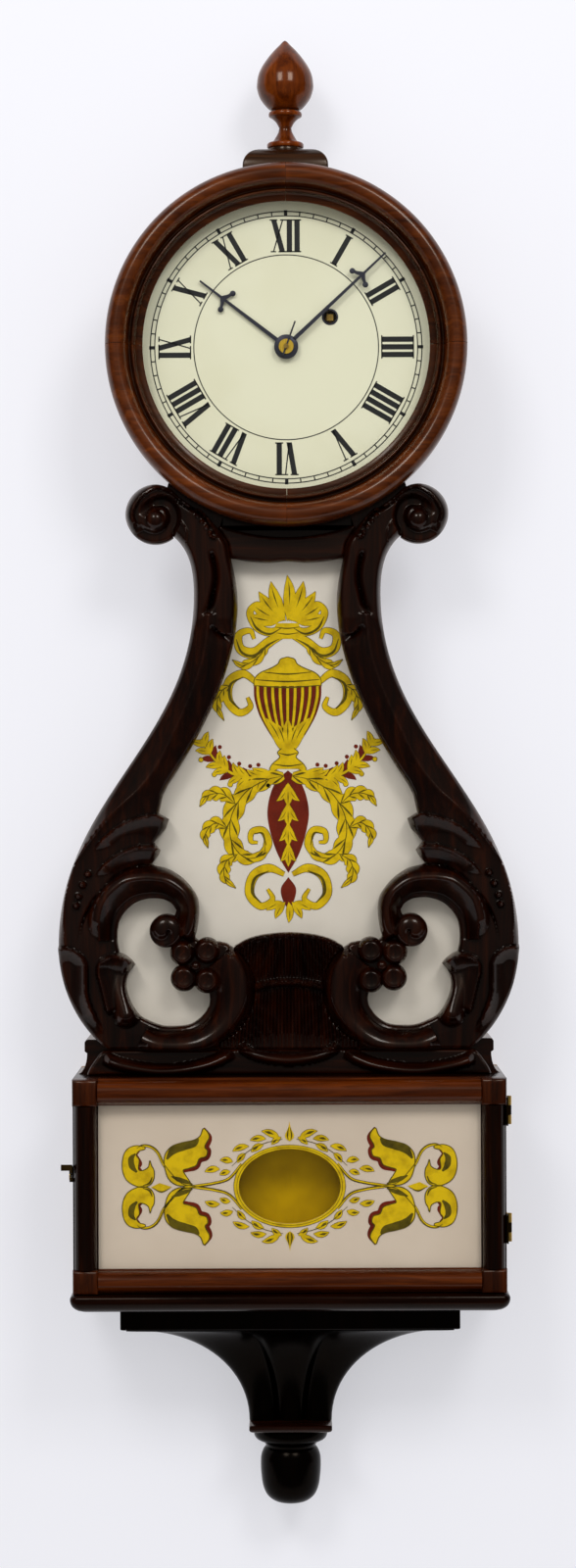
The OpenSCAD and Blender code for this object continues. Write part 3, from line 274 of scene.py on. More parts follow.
def mapped(tree, source, values):
    """Coordinates of the object or the world, moved, turned or scaled."""
    tex = add_node(tree, "TexCoord")
    return add_node(tree, "Mapping", {"Vector": tex.outputs[source], **values}).outputs["Vector"]


def noise(tree, scale, detail, turn=0.0, **values):
    """Noise over the object, scaled on each axis and turned about the depth axis."""
    vector = mapped(tree, "Object", {"Rotation": (0, math.radians(turn), 0), "Scale": scale})
    inputs = {"Vector": vector, "Scale": 1.0, "Detail": detail, **values}
    return add_node(tree, "TexNoise", inputs).outputs["Fac"]


def mix(tree, mode, factor, a, b):
    node = add_node(tree, "Mix", data_type="RGBA", blend_type=mode)
    set_inputs(tree, node, {"Factor": factor, "A": a, "B": b})
    return node.outputs["Result"]


def either(tree, first, *others):
    """The largest of several values."""
    for other in others:
        first = mix(tree, "LIGHTEN", 1.0, first, other)
    return first


def add_bump(tree, bsdf, height, strength, distance):
    bump_node = add_node(tree, "Bump", {"Height": height, "Strength": strength, "Distance": distance})
    tree.links.new(bump_node.outputs["Normal"], bsdf.inputs["Normal"])


VARNISH = (1.0, 0.8, 0.62, 1.0)
COAT_ROUGH = 0.1
GRAIN_ALONG = {"x": (9, 150, 150), "z": (150, 150, 9)}
PORE_SCALE = 5
PATCH_SCALE = (7, 7, 7)


def wood(name, dark, mid, light, grain="z", turn=0.0, gloss=0.2, coat=0.12, wear_and_highlight=0.5, shine=0.28):
    """Polished wood with streaked figure and fine pores, painted shade in the hollows, and edges lightened
    partly as wear and partly as painted highlight.
    """
    material, tree, bsdf = new_material(name)
    scale = GRAIN_ALONG[grain]
    figure = noise(tree, scale, 6.0, turn, Roughness=0.6, Distortion=0.6)
    pores = noise(tree, tuple(PORE_SCALE * s for s in scale), 3.0, turn, Roughness=0.5)
    patches = noise(tree, PATCH_SCALE, 2.0, turn)
    # Pointiness paints shade into the hollows and lightens sharp edges, partly as wear and partly as painted
    # highlight
    pointed = add_node(tree, "NewGeometry").outputs["Pointiness"]
    colour = ramp(tree, figure, (0.28, srgb(*dark)), (0.5, srgb(*mid)), (0.75, srgb(*light)))
    for share, shade in (
            (0.7, ramp(tree, pores, (0.33, grey(0.55)), (0.46, grey(1.0)))),
            (0.6, ramp(tree, patches, (0.3, grey(0.6)), (0.7, grey(1.2)))),
            (0.8, ramp(tree, pointed, (0.46, grey(0.35)), (0.5, grey(1.0)), (0.56, grey(1.0 + wear_and_highlight))))):
        colour = mix(tree, "MULTIPLY", share, colour, shade)
    rough = ramp(tree, patches, (0.3, grey(gloss - 0.03)), (0.7, grey(gloss + 0.06)))
    set_inputs(tree, bsdf, {"Base Color": colour, "Roughness": rough,
                            "Specular IOR Level": shine, "Specular Tint": VARNISH,
                            "Coat Weight": coat, "Coat Roughness": COAT_ROUGH, "Coat Tint": VARNISH})
    add_bump(tree, bsdf, pores, 0.12, 0.0004)
    return material


TARNISH_SCALE = (60, 60, 60)
BRUSH_SCALE = (900, 900, 60)


def metal(name, colour, dull, rough, tarnish=0.5, metallic=0.85):
    """Metal with brushed roughness and patchy tarnish."""
    material, tree, bsdf = new_material(name)
    patches = ramp(tree, noise(tree, TARNISH_SCALE, 5.0), (0.4, grey(0.0)), (0.75, grey(tarnish)))
    brushed = noise(tree, BRUSH_SCALE, 2.0)
    set_inputs(tree, bsdf, {"Base Color": mix(tree, "MIX", patches, srgb(*colour), srgb(*dull)),
                            "Roughness": ramp(tree, brushed, (0.3, grey(rough)), (0.7, grey(rough + 0.14))),
                            "Metallic": metallic, "Specular Tint": srgb(*colour)})
    add_bump(tree, bsdf, brushed, 0.05, 0.0002)
    return material


TOOTH_SCALE = (1500, 1500, 1500)


def paint(name, colour, shade, rough=0.45, mottling=9.0, shine=0.5):
    """Painted surface with faint cloudy ageing and a fine tooth."""
    material, tree, bsdf = new_material(name)
    cloud = noise(tree, (mottling,) * 3, 6.0, Roughness=0.6)
    cloud = ramp(tree, cloud, (0.42, grey(0.0)), (0.72, grey(1.0)))
    set_inputs(tree, bsdf, {"Base Color": mix(tree, "MIX", cloud, srgb(*colour), srgb(*shade)),
                            "Roughness": rough, "Specular IOR Level": shine})
    add_bump(tree, bsdf, noise(tree, TOOTH_SCALE, 2.0), 0.04, 0.0001)
    return material


def clear_glass(name):
    """Thin clear pane: see-through, with a Fresnel gloss on its front faces only."""
    material, tree, bsdf = new_material(name)
    tree.nodes.remove(bsdf)
    gloss = add_node(tree, "BsdfGlossy", {"Roughness": 0.02, "Color": grey(0.9)})
    clear = add_node(tree, "BsdfTransparent", {"Color": (0.985, 0.99, 0.985, 1.0)})
    fresnel = add_node(tree, "Fresnel", {"IOR": 1.35})
    face = add_node(tree, "NewGeometry")
    share = mix(tree, "MIX", face.outputs["Backfacing"], fresnel.outputs["Fac"], grey(0.0))
    blend_surface(tree, share, clear.outputs["BSDF"], gloss.outputs["BSDF"])
    return material


# Woods, metals and paints: picture colours from dark to light, or main colour and shade
RED = ((50, 21, 5), (78, 36, 9), (106, 53, 15))
BROWN = ((10, 3, 1), (26, 10, 3), (46, 20, 6))
CARVED = {"gloss": 0.26, "coat": 0.28, "wear_and_highlight": 0.8, "shine": 0.14}
finial_wood = wood("finial_mahogany", (66, 27, 6), (98, 44, 10), (128, 62, 17))
mahogany_x = wood("mahogany_level", *RED, grain="x")
box_wood = wood("box_mahogany", (36, 14, 3), (60, 26, 6), (86, 40, 10), grain="x", coat=0.08, shine=0.2)
# Painted shade: the door's stiles take a darker copy of the door mahogany
box_stile_painted_shade = wood("box_mahogany_stile_painted_shade", (10, 4, 1), (20, 8, 2), (34, 15, 4), coat=0.04, shine=0.12)
# Painted shade: the corner blocks take a copy of the door mahogany that is darker than the rails
corner_wood_painted_shade = wood("corner_mahogany_painted_shade", (22, 9, 3), (44, 19, 6), (66, 30, 9), coat=0.08, shine=0.18)
base_wood = wood("base_mahogany", (9, 4, 1), (20, 8, 2), (34, 15, 3), grain="x", coat=0.04, shine=0.1)
dark_wood = wood("dark_mahogany", *BROWN, **CARVED)
dark_level = wood("dark_mahogany_level", *BROWN, grain="x", **CARVED)
# Painted shade: the bracket and the drop under the box take near-black wood with almost no shine
bracket_wood_painted_shade = wood("bracket_wood_painted_shade", (2, 1, 1), (6, 3, 2), (12, 6, 3), coat=0.0, wear_and_highlight=0.8, shine=0.05)
block_wood = wood("block_mahogany", (22, 12, 6), (44, 26, 14), (66, 40, 22), grain="x", gloss=0.24)
pine = wood("pine", (120, 84, 48), (158, 118, 74), (190, 150, 100), gloss=0.55, coat=0.0, wear_and_highlight=0.1)
dark_brass = metal("blackened_brass", (44, 34, 20), (20, 15, 10), 0.34, 0.8)
brass = metal("aged_brass", (196, 160, 84), (120, 92, 44), 0.22)
bright_brass = metal("bright_brass", (214, 176, 66), (170, 128, 40), 0.24, 0.3, 0.45)
bob_brass = metal("bob_brass", (216, 168, 8), (172, 130, 6), 0.26, 0.5, 0.05)
steel = metal("polished_steel", (176, 178, 182), (104, 104, 108), 0.2)
blued = metal("blued_steel", (64, 64, 72), (44, 44, 50), 0.3, 0.5, 0.35)
iron = metal("cast_iron", (70, 70, 72), (44, 42, 42), 0.5)
dial_paint = paint("dial_paint", (230, 226, 197), (221, 216, 183), 0.5)
black_paint = paint("dial_black", (10, 10, 11), (24, 23, 22), 0.6)
line_gut = paint("gut_line", (170, 140, 96), (140, 112, 74), 0.6, mottling=400.0)
# Paint on the back of a pane has next to no shine of its own
BEHIND = 0.06
throat_white = paint("tablet_white", (220, 210, 198), (210, 199, 186), 0.4, shine=BEHIND)
box_white = paint("box_tablet_white", (212, 194, 176), (203, 184, 165), 0.4, shine=BEHIND)
gold = paint("gilding", (216, 180, 16), (176, 142, 10), 0.35, 120.0, BEHIND)
rim_paint = paint("gilding_rim", (86, 68, 12), (58, 46, 8), 0.4, 120.0, BEHIND)
olive = paint("gilding_shade", (98, 84, 16), (58, 49, 9), 0.4, 120.0, BEHIND)
maroon = paint("maroon", (110, 36, 18), (84, 26, 14), 0.4, 60.0, BEHIND)
glass = clear_glass("pane_glass")


# Outline of the lyre
ARM_PULL, HEEL_PULL = 108.0, 34.0
HEEL = [(148, FOOT_TOP + 14), (130, FOOT_TOP)]


def throat_edge():
    arm = bezier([NECK, (NECK[0], NECK[1] - ARM_PULL), (BULB[0], BULB[1] + ARM_PULL), BULB], 60)
    heel = bezier([BULB, (BULB[0], BULB[1] - HEEL_PULL), *HEEL], 24)
    return arm[:-1] + heel


VOLUTE = (94.8, -120.0)
VOLUTE_R = 21.0
LOWER_SCROLL = (63.0, -462.0)
LOWER_SCROLL_R = 38.5
SCROLL_EYE = (87.7, -418.8)
ROSETTE = (66.6, -443.8)
PETALS = [((76.2, -434.5), 8.6), ((75.2, -452.6), 9.2), ((58.7, -433.2), 9.0), ((58.8, -454.4), 8.8)]
INNER_TOP = [(40.4, -151.3), (42.4, -140.7), (46.6, -134), (52.5, -126.4), (58.6, -120.2), (63, -116.4),
             (68, -114.6), (76, -109)]
FAN_HW = 49.8
LEAF_SIDE = [(86.1, -313.8), (90.3, -322), (93, -334.6), (85.8, -338.8), (88.1, -345.7), (96.7, -355.5),
             (91.9, -361.4), (93.6, -364.8), (98.4, -371)]
OPENING_TOP = [(80.5, -404.2), (83.8, -399.4), (89.3, -396.4), (95.9, -395.5), (102.4, -396.1),
               (110.1, -398.8), (116.8, -404.3), (121.2, -410.9), (122.9, -417.5), (123.2, -426.3),
               (121.8, -434.5)]
OPENING_TIP = [(118, -436.1), (113.6, -439.4), (110.3, -443.3)]
OPENING_LOW = [(113.6, -447.1), (115.9, -451.5), (117, -458.1), (115.9, -464.7), (112.7, -472.4),
               (107.2, -480.1), (100.6, -483.9), (91.8, -487.2), (83, -487.8), (72.1, -486.7), (64.4, -482.3),
               (58.9, -475.7), (56.9, -470.2), (57.6, -463), (63, -458), (70, -456.5), (78, -456),
               (80.5, -450), (78, -442), (81.5, -434), (85, -428), (85, -418), (83, -411)]
OPENING = smooth(OPENING_TOP, 4) + smooth(OPENING_TIP, 3) + smooth(OPENING_LOW, 4)
UPPER_EDGE = [(45, -428), (52, -426.8), (60, -427.4), (66.8, -424.4), (66, -419), (64.6, -410), (64.4, -401),
              (66.6, -392.8), (74.9, -382.3), (85.9, -374.8), (98.4, -371.6)]


def arm_outline():
    start = bezier([(82, -135), (70, -145), (NECK[0], -160), NECK], 12)[:-1]
    lower = arc(LOWER_SCROLL, LOWER_SCROLL_R, 250, 128, 30)
    upper = smooth(UPPER_EDGE, 5)[:-1]
    inner = bezier([(86.1, -313.8), (66, -284), (35.7, -232), (35.7, -184)], 40)[1:]
    inner += bezier([(35.7, -184), (35.7, -170), (38.5, -160), (40.4, -151.3)], 12)[1:-1]
    return (start + throat_edge() + [(FAN_HW, FOOT_TOP)] + lower + upper + list(reversed(LEAF_SIDE)) + inner
            + smooth(INNER_TOP, 5) + arc(VOLUTE, VOLUTE_R, 128, -128, 60))


# Height field over a flat outline
FAR, TINY = 1e9, 0.01
ROW_SHARE, CLEAR_SHARE = 0.87, 0.55
FACE_TOLERANCE, BACK_TOLERANCE = 1e-5, 1e-7


def densify(points, step):
    out = []
    for a, b in zip(points, points[1:] + points[:1]):
        k = max(1, int(math.dist(a, b) / step))
        out += [(a[0] + (b[0] - a[0]) * i / k, a[1] + (b[1] - a[1]) * i / k) for i in range(k)]
    return out


def inside(q, loops):
    odd = np.zeros(len(q), bool)
    for loop in loops:
        a = np.array(loop)
        b = np.roll(a, -1, 0)
        for (x0, z0), (x1, z1) in zip(a, b):
            if z0 == z1:
                continue
            crossing = (x1 - x0) * (q[:, 1] - z0) / (z1 - z0) + x0
            odd ^= ((z0 > q[:, 1]) != (z1 > q[:, 1])) & (q[:, 0] < crossing)
    return odd


def along(points, q):
    """Distance from an open line, side of it, and share of its length, for each point."""
    p = np.array(points, float)
    lengths = np.concatenate([[0], np.cumsum(np.linalg.norm(np.diff(p, axis=0), axis=1))])
    best = np.full(len(q), FAR)
    side = np.ones(len(q))
    share = np.zeros(len(q))
    for i in range(len(p) - 1):
        v = p[i + 1] - p[i]
        t = np.clip(((q - p[i]) @ v) / (v @ v), 0, 1)
        w = q - (p[i] + t[:, None] * v)
        dist = np.hypot(w[:, 0], w[:, 1])
        nearer = dist < best
        best = np.where(nearer, dist, best)
        side = np.where(nearer, np.sign(v[0] * w[:, 1] - v[1] * w[:, 0]), side)
        share = np.where(nearer, (lengths[i] + t * (lengths[i + 1] - lengths[i])) / lengths[-1], share)
    return best, side, share


def edge_distance(q, loops):
    best = np.full(len(q), FAR)
    for loop in loops:
        best = np.minimum(best, along(loop + loop[:1], q)[0])
    return best


def profile(f, form):
    """Fall of a cove or a round from its crest (1) to its foot (0)."""
    return f ** 2 if form == "cove" else f * (2 - f)


def ridge(q, points, height, left, right, fade=(0.0, 0.0)):
    """Carved ridge with its own width and form on each side, fading at its ends."""
    dist, side, share = along(smooth(points), q)
    width = np.where(side > 0, left[0], right[0])
    f = np.clip(1 - dist / width, 0, 1)
    shape = np.where(side > 0, profile(f, left[1]), profile(f, right[1]))
    if fade[0]:
        shape *= np.clip(share / fade[0], 0, 1)
    if fade[1]:
        shape *= np.clip((1 - share) / fade[1], 0, 1)
    return height * shape


def nearness(q, centre, r):
    return np.clip(1 - np.hypot(q[:, 0] - centre[0], q[:, 1] - centre[1]) / r, 0, 1)


def bump(q, centre, r, height):
    f = nearness(q, centre, r)
    return height * f * (2 - f)


def dome(q, centre, r, height):
    """Round button with steep sides."""
    return height * np.sqrt(profile(nearness(q, centre, r), "round"))


def loop_edges(loops):
    """Numbers of the points at both ends of each edge, counted through all loops."""
    edges, start = [], 0
    for loop in loops:
        n = len(loop)
        edges += [(start + i, start + (i + 1) % n) for i in range(n)]
        start += n
    return edges


def grid_inside(outline, loops, step):
    """Staggered grid of points inside the loops, clear of their edges."""
    lo, hi = np.min(outline, 0), np.max(outline, 0)
    gx, gz = np.meshgrid(np.arange(lo[0], hi[0], step), np.arange(lo[1], hi[1], step * ROW_SHARE))
    gx[1::2] += step / 2
    grid = np.stack([gx.ravel(), gz.ravel()], 1)
    grid = grid[inside(grid, loops)]
    return grid[edge_distance(grid, loops) > CLEAR_SHARE * step]


def triangles(points, edges, loops, tolerance):
    """Points, triangles along the edges and inside the loops, and the source of each point."""
    points = [Vector(p) for p in points]
    verts, _, tris, source, *_ = geometry.delaunay_2d_cdt(points, edges, [], 0, tolerance)
    flat = np.array([tuple(v) for v in verts])
    kept = inside(np.array([flat[list(t)].mean(0) for t in tris]), loops)
    return flat, [list(t) for t, k in zip(tris, kept) if k], source


def border_edges(tris):
    """Edges that belong to one triangle only."""
    edges = dict.fromkeys(edge for t in tris for edge in zip(t, t[1:] + t[:1]))
    return [(a, b) for a, b in edges if (b, a) not in edges]


def carved(outline, holes, height, back, step):
    """Closed carved plate: carved face, walls along the outline, and a flat back."""
    loops = [densify(loop, step) for loop in [outline] + holes]
    points = [p for loop in loops for p in loop] + list(grid_inside(outline, loops, step))
    flat, tris, _ = triangles(points, loop_edges(loops), loops, FACE_TOLERANCE)
    depth = height(flat, edge_distance(flat, loops))
    verts = [(x, d, z) for (x, z), d in zip(flat, depth)]
    border = border_edges(tris)
    rim = list(dict.fromkeys(i for edge in border for i in edge))
    back_of = {i: len(verts) + k for k, i in enumerate(rim)}
    verts += [(flat[i][0], back, flat[i][1]) for i in rim]
    faces = tris + [[b, a, back_of[a], back_of[b]] for a, b in border]
    local = {i: k for k, i in enumerate(rim)}
    back_edges = [(local[a], local[b]) for a, b in border]
    _, back_tris, source = triangles([flat[i] for i in rim], back_edges, loops, BACK_TOLERANCE)
    faces += [[back_of[rim[source[i][0]]] for i in reversed(t)] for t in back_tris]
    return verts, faces


def rounded_edge(depth, edge, r, drop):
    f = np.clip(1 - edge / r, 0, 1)
    return depth - drop * f ** 2


ARM_RIDGE = [(56.4, -192.5), (57.8, -207.3), (60.2, -222.1), (67.1, -243.6), (79, -271), (93, -299),
             (106.3, -316.6), (120.1, -329.1), (135.3, -344.4), (149.1, -362.4), (156, -376.3), (160, -391.6),
             (161.5, -411), (160, -428)]
LOBE_ONE = [(85.8, -338.8), (93.7, -336.6), (106.2, -338.0), (121.4, -344.2), (135.3, -356), (145, -369)]
LOBE_TWO = [(91.9, -361.4), (97.8, -358.8), (108.9, -359.4), (121.4, -364.3), (132.4, -372.6), (142.1, -384)]
SCROLL_RIDGE = [(77, -424), (73, -415), (71.5, -404), (74, -393.5), (80.4, -387.2), (87, -383.4),
                (95.8, -381.6), (106.8, -381.6), (116.7, -383.6), (124.4, -388.9), (130, -394.5),
                (133.8, -401), (136.4, -413), (136.2, -427)]
SCROLL_TOP = [(98.4, -372.1), (107.4, -372.3), (118.5, -376), (129.6, -384.5), (139.3, -396), (147.5, -412),
              (151, -430)]
LEAF_LIP = [(110.8, -443), (114.5, -440.2), (118, -438.4), (124.6, -437.2), (131.2, -438.7), (135.4, -442.7),
            (136, -449), (134.5, -454.8), (131.3, -468), (128, -480)]
LEAF_LOBE = [(123.3, -443), (122.7, -451.2), (121.6, -462.4), (119.2, -471), (117.0, -478.5)]
OUTER_LOBE = [(164.5, -431.6), (155.3, -432.9), (149.8, -436.7), (146.3, -441.6), (146, -449),
              (145.4, -465.8), (139, -482.3), (132.5, -493.3)]
LOW_RIDGE = [(45, -433), (36.5, -444), (33, -457), (34, -470), (39.8, -481.6), (48.4, -491), (59, -498),
             (70, -501.2), (80.9, -502), (93, -501.4), (100.7, -499.4), (107.3, -496)]
BEADS = [(143.6, -377.9), (147.4, -385.6), (150.2, -393.9), (151.9, -400.5)]
VALLEY = [(54.6, -146), (51.8, -157.9), (51.1, -167.8), (53, -177.7), (55.4, -185.6), (60.4, -193)]
INNER_END = [(38, -207.6), (43, -207.6), (48.5, -205.8), (54.4, -199)]
VOLUTE_RIDGE = [(67, -116.8), (71.2, -113.7), (80.6, -106.7), (85.8, -103.2), (90.6, -101.9), (95.3, -102.5),
                (103.1, -107.4), (108.6, -114.6), (110.4, -121), (108, -127), (103, -129.6)]
VOLUTE_HOLLOW = [(102.1, -122.6), (99.5, -116.3), (94.2, -112.4), (89, -111.7), (83.7, -114.7),
                 (81.1, -121.6), (82.7, -128.4), (87.9, -134.4), (95.3, -136.6), (103.7, -134), (109, -129)]
VOLUTE_EYE, VOLUTE_EYE_R = (94.2, -124.0), 8.8
KNOT_RIM = [(67, -117.4), (62.6, -117.6), (58.4, -121.4), (54.4, -127), (50.9, -133), (50.6, -136),
            (52.6, -137.6), (56.5, -134.7)]
KNOTS = [(64.2, -121.8), (60.8, -125.8), (57.6, -129.8), (55, -133.6)]
SMALL_LEAF = [(79.4, -123.4), (74.4, -128.4), (71.9, -135.3), (73.4, -143.1)]
SCROLL_H, SCROLL_DIP, SCROLL_SPLIT = 10.5, -6.0, -432
UPPER_REACH, LOWER_REACH, LOWER_EDGE_X = 17.0, 24.0, 106
ROOF_TOP, ROOF_H, ROOF_POWER = -192, 9.0, 0.9
SINK_FROM, SINK_SPAN, SINK_SHARE = -330, 50, 0.35
SHANK_FROM, SHANK_SPAN, SHANK_H, SHANK_ROUND = -215, 20, 6.5, 5
KNOT_R, KNOT_H, BEAD_R, BEAD_H, VOLUTE_EYE_H = 2.8, 9.6, 3.4, 9.0, 10.0
# Ridges and cuts of the arm: line, height, width and form on the left and on the right, fade at each end
ARM_LIFTS = [
    (LOBE_ONE, 9.5, (2.0, "round"), (24.0, "cove"), (0.05, 0.3)),
    (LOBE_TWO, 9.5, (2.0, "round"), (20.0, "cove"), (0.05, 0.3)),
    (SCROLL_RIDGE, SCROLL_H, (9.5, "round"), (3.0, "cove"), (0.03, 0.12)),
    (LEAF_LIP, 9.5, (2.6, "round"), (20.0, "cove"), (0.05, 0.08)),
    (LEAF_LOBE, 10.0, (10.5, "round"), (10.5, "round"), (1.0, 0.0)),
    (OUTER_LOBE, 9.0, (16.0, "cove"), (2.6, "round"), (0.0, 0.25)),
    (LOW_RIDGE, SCROLL_H, (3.0, "cove"), (7.5, "round"), (0.05, 0.06)),
    (VOLUTE_RIDGE, 10.0, (7.0, "round"), (8.0, "cove"), (0.05, 0.1)),
    (SMALL_LEAF, 7.5, (4.0, "cove"), (4.0, "round"), (0.1, 0.1)),
    (KNOT_RIM, 10.4, (1.7, "round"), (1.7, "round"), (0.05, 0.05)),
]
ARM_CUTS = [
    (SCROLL_TOP, 3.0, (2.0, "cove"), (2.0, "cove"), (0.05, 0.3)),
    (VALLEY, 6.0, (4.2, "cove"), (4.2, "cove"), (0.12, 0.2)),
    (INNER_END, 4.5, (1.6, "cove"), (9.0, "cove"), (0.0, 0.25)),
    (VOLUTE_HOLLOW, 8.0, (5.4, "round"), (5.4, "round"), (0.2, 0.1)),
]


def inner_slope(q, h, crest, hand, reach, region, rounded=False):
    """Slope from a scroll's crest down to the pierced opening, in place of the height there."""
    from_opening = along(OPENING + OPENING[:1], q)[0]
    from_crest, side, share = along(smooth(crest), q)
    f = from_opening / (from_opening + from_crest + TINY)
    slope = SCROLL_DIP + (SCROLL_H - SCROLL_DIP) * np.where(rounded, f * (2 - f), f ** 0.8)
    there = region & (side * hand > 0) & (from_crest < reach) & (share > 0.01) & (share < 0.99)
    return np.where(there, slope, h)


def arm_depth(q, edge):
    """Depth of the carved face of the right arm."""
    x, z = q[:, 0], q[:, 1]
    crest = along(smooth(ARM_RIDGE), q)[0]
    low = np.clip((SINK_FROM - z) / SINK_SPAN, 0, 1)
    roof = ROOF_H * (edge / (edge + crest + TINY)) ** ROOF_POWER
    h = np.where(z < ROOF_TOP, roof * (1 - SINK_SHARE * low), 0)
    upper = np.clip((z - SHANK_FROM) / SHANK_SPAN, 0, 1)
    h = np.maximum(h, upper * SHANK_H * profile(np.clip(edge / SHANK_ROUND, 0, 1), "round"))
    for lift in [ridge(q, *lift) for lift in ARM_LIFTS] + [bump(q, knot, KNOT_R, KNOT_H) for knot in KNOTS]:
        h = np.maximum(h, lift)
    for hollow in ARM_CUTS:
        h -= ridge(q, *hollow)
    h = np.maximum(h, dome(q, VOLUTE_EYE, VOLUTE_EYE_R, VOLUTE_EYE_H))
    h = inner_slope(q, h, SCROLL_RIDGE, -1, UPPER_REACH, z > SCROLL_SPLIT)
    h = inner_slope(q, h, LOW_RIDGE, 1, LOWER_REACH, (z < SCROLL_SPLIT) & (x < LOWER_EDGE_X), rounded=True)
    for bead in BEADS:
        h = np.maximum(h, bump(q, bead, BEAD_R, BEAD_H))
    return rounded_edge(FRAME_FRONT + h, edge, 2.4, np.minimum(3.0, 2 + 0.3 * h))


def button(shell, centre, r, middle, face, rings, steps):
    """Round button on the arm, with its depth at the middle and at each share of the radius and angle."""
    x, z = centre
    angles = [2 * math.pi * k / steps for k in range(steps)]
    rows = [[(x, middle, z)] * steps]
    for s in [i / rings for i in range(1, rings + 1)]:
        rows.append([(x + r * s * math.cos(a), face(s, a), z + r * s * math.sin(a)) for a in angles])
    rows.append([(x + r * math.cos(a), FRAME_BACK, z + r * math.sin(a)) for a in angles])
    shell.stack(rows)


def spiral_button(shell, centre, r, top, turns):
    """Turned-in end of a scroll: a domed button with a spiral groove."""
    def face(s, a):
        phase = (s * turns - a / (2 * math.pi)) % 1.0
        groove = math.exp(-((phase - 0.5) / GROOVE_WIDTH) ** 2) * (1 - s ** 6)
        return top - EYE_FALL * (1 - (1 - s ** 3) ** 0.5) - GROOVE_DEPTH * groove

    button(shell, centre, r, top, face, 26, 72)


def petal(shell, centre, r, top):
    """Round petal with a broad soft rim and a shallow dish."""
    def face(s, _):
        lift = -PETAL_DISH * max(0.0, 1 - (s / PETAL_DISH_R) ** 2)
        fall = PETAL_FALL * max(0.0, (s - 0.5) / 0.5) ** 2.2
        return top + lift - fall

    button(shell, centre, r, top - PETAL_DISH, face, 14, 44)


ARM_STEP = 1.0
BACKING_R, BACKING_FRONT = 121.6, 76.0
EYE_R, EYE_TOP, EYE_TURNS = 12.0, 92.5, 0.5
PETAL_TOP, PETAL_SPREAD = 90.5, 1.04
GROOVE_DEPTH, GROOVE_WIDTH, EYE_FALL = 3.0, 0.16, 7
PETAL_DISH, PETAL_DISH_R, PETAL_FALL = 1.1, 0.6, 5.5
ARM_BACKING_FROM, ARM_BACKING_TO = -68, -47
ROSETTE_BUTTON = [(0, 92.0), (1.8, 91.6), (3.0, 90.4), (3.4, 88.0), (3.4, 80.0), (0, 80.0)]


def backing(shell, start, end, outer):
    """Recessed plate that carries on under the bezel."""
    shell.prism(arc((0, 0), BACKING_R, start, end, 24) + outer, FRAME_BACK, BACKING_FRONT)


def carve_arms():
    verts, faces = carved(arm_outline(), [OPENING], arm_depth, FRAME_BACK, ARM_STEP)
    for name, sign in (("right_arm", 1), ("left_arm", -1)):
        shell = Shell()
        shell.add(verts, faces)
        backing(shell, ARM_BACKING_FROM, ARM_BACKING_TO, [(86, -100)] + INNER_TOP[:1:-1])
        spiral_button(shell, SCROLL_EYE, EYE_R, EYE_TOP, EYE_TURNS)
        for centre, r in PETALS:
            petal(shell, centre, r * PETAL_SPREAD, PETAL_TOP)
        shell.turn(ROSETTE_BUTTON, (ROSETTE[0], 0, ROSETTE[1]), "d", 32)
        shell.verts = [(sign * x, y, z) for x, y, z in shell.verts]
        place(shell.build(name + "_carving", dark_wood, 50), "case", "dark_wood", name)


def carved_shell(outline, depth, step_share):
    shell = Shell()
    shell.add(*carved(outline, [], depth, FRAME_BACK, ARM_STEP * step_share))
    return shell


RAIL_R, RAIL_END, RAIL_FROM, RAIL_TO = 136.0, 49.2, 249, 291
RAIL_LOW = both_sides([(0, -153.4), (14, -154.3), (28, -153.4), (40.4, -151.3)])


def carve_rail():
    side = smooth(INNER_TOP[:3] + [(RAIL_END, -130.6)], 4)
    top = arc((0, 0), RAIL_R + 0.5, RAIL_TO, RAIL_FROM, 40)

    def depth(q, edge):
        radius = np.hypot(q[:, 0], q[:, 1])
        h = 1.5 * np.clip((radius - RAIL_R) / 18, 0, 1)
        return rounded_edge(FRAME_FRONT - 2 + h, edge, 1.4, 1.4)

    shell = carved_shell(side + top + mirrored(side) + smooth(RAIL_LOW, 8)[1:-1], depth, 1.2)
    under = arc((0, 0), RAIL_R + 1, RAIL_TO, RAIL_FROM, 24)
    backing(shell, RAIL_FROM, RAIL_TO, [(RAIL_END, -131.5)] + under + [(-RAIL_END, -131.5)])
    place(shell.build("top_rail_carving", dark_level, 50), "case", "dark_wood", "top_rail")


FAN_TOP = both_sides([(0, -420.5), (18, -422), (30, -425.2), (40.5, -431)])
FAN_TIER = both_sides([(0, -455.5), (18, -457.5), (29, -461)])
RIB_H, RIB_W, RIB_SPLAY, RIB_FROM = 0.7, 2.6, 0.0022, -505
FAN_RISE, LOW_FALL, HIGH_FALL = 6.0, 45, 36
MID_SWAG = both_sides([(0, -511.9), (15, -510.3), (28.2, -506.4), (35.5, -500.6)])
SWAG = [(40, -506.2), (48, -510.8), (59, -515.2), (75.5, -518.6), (92, -519.6), (107.3, -518),
        (122.7, -514.6), (134, -509.8)]


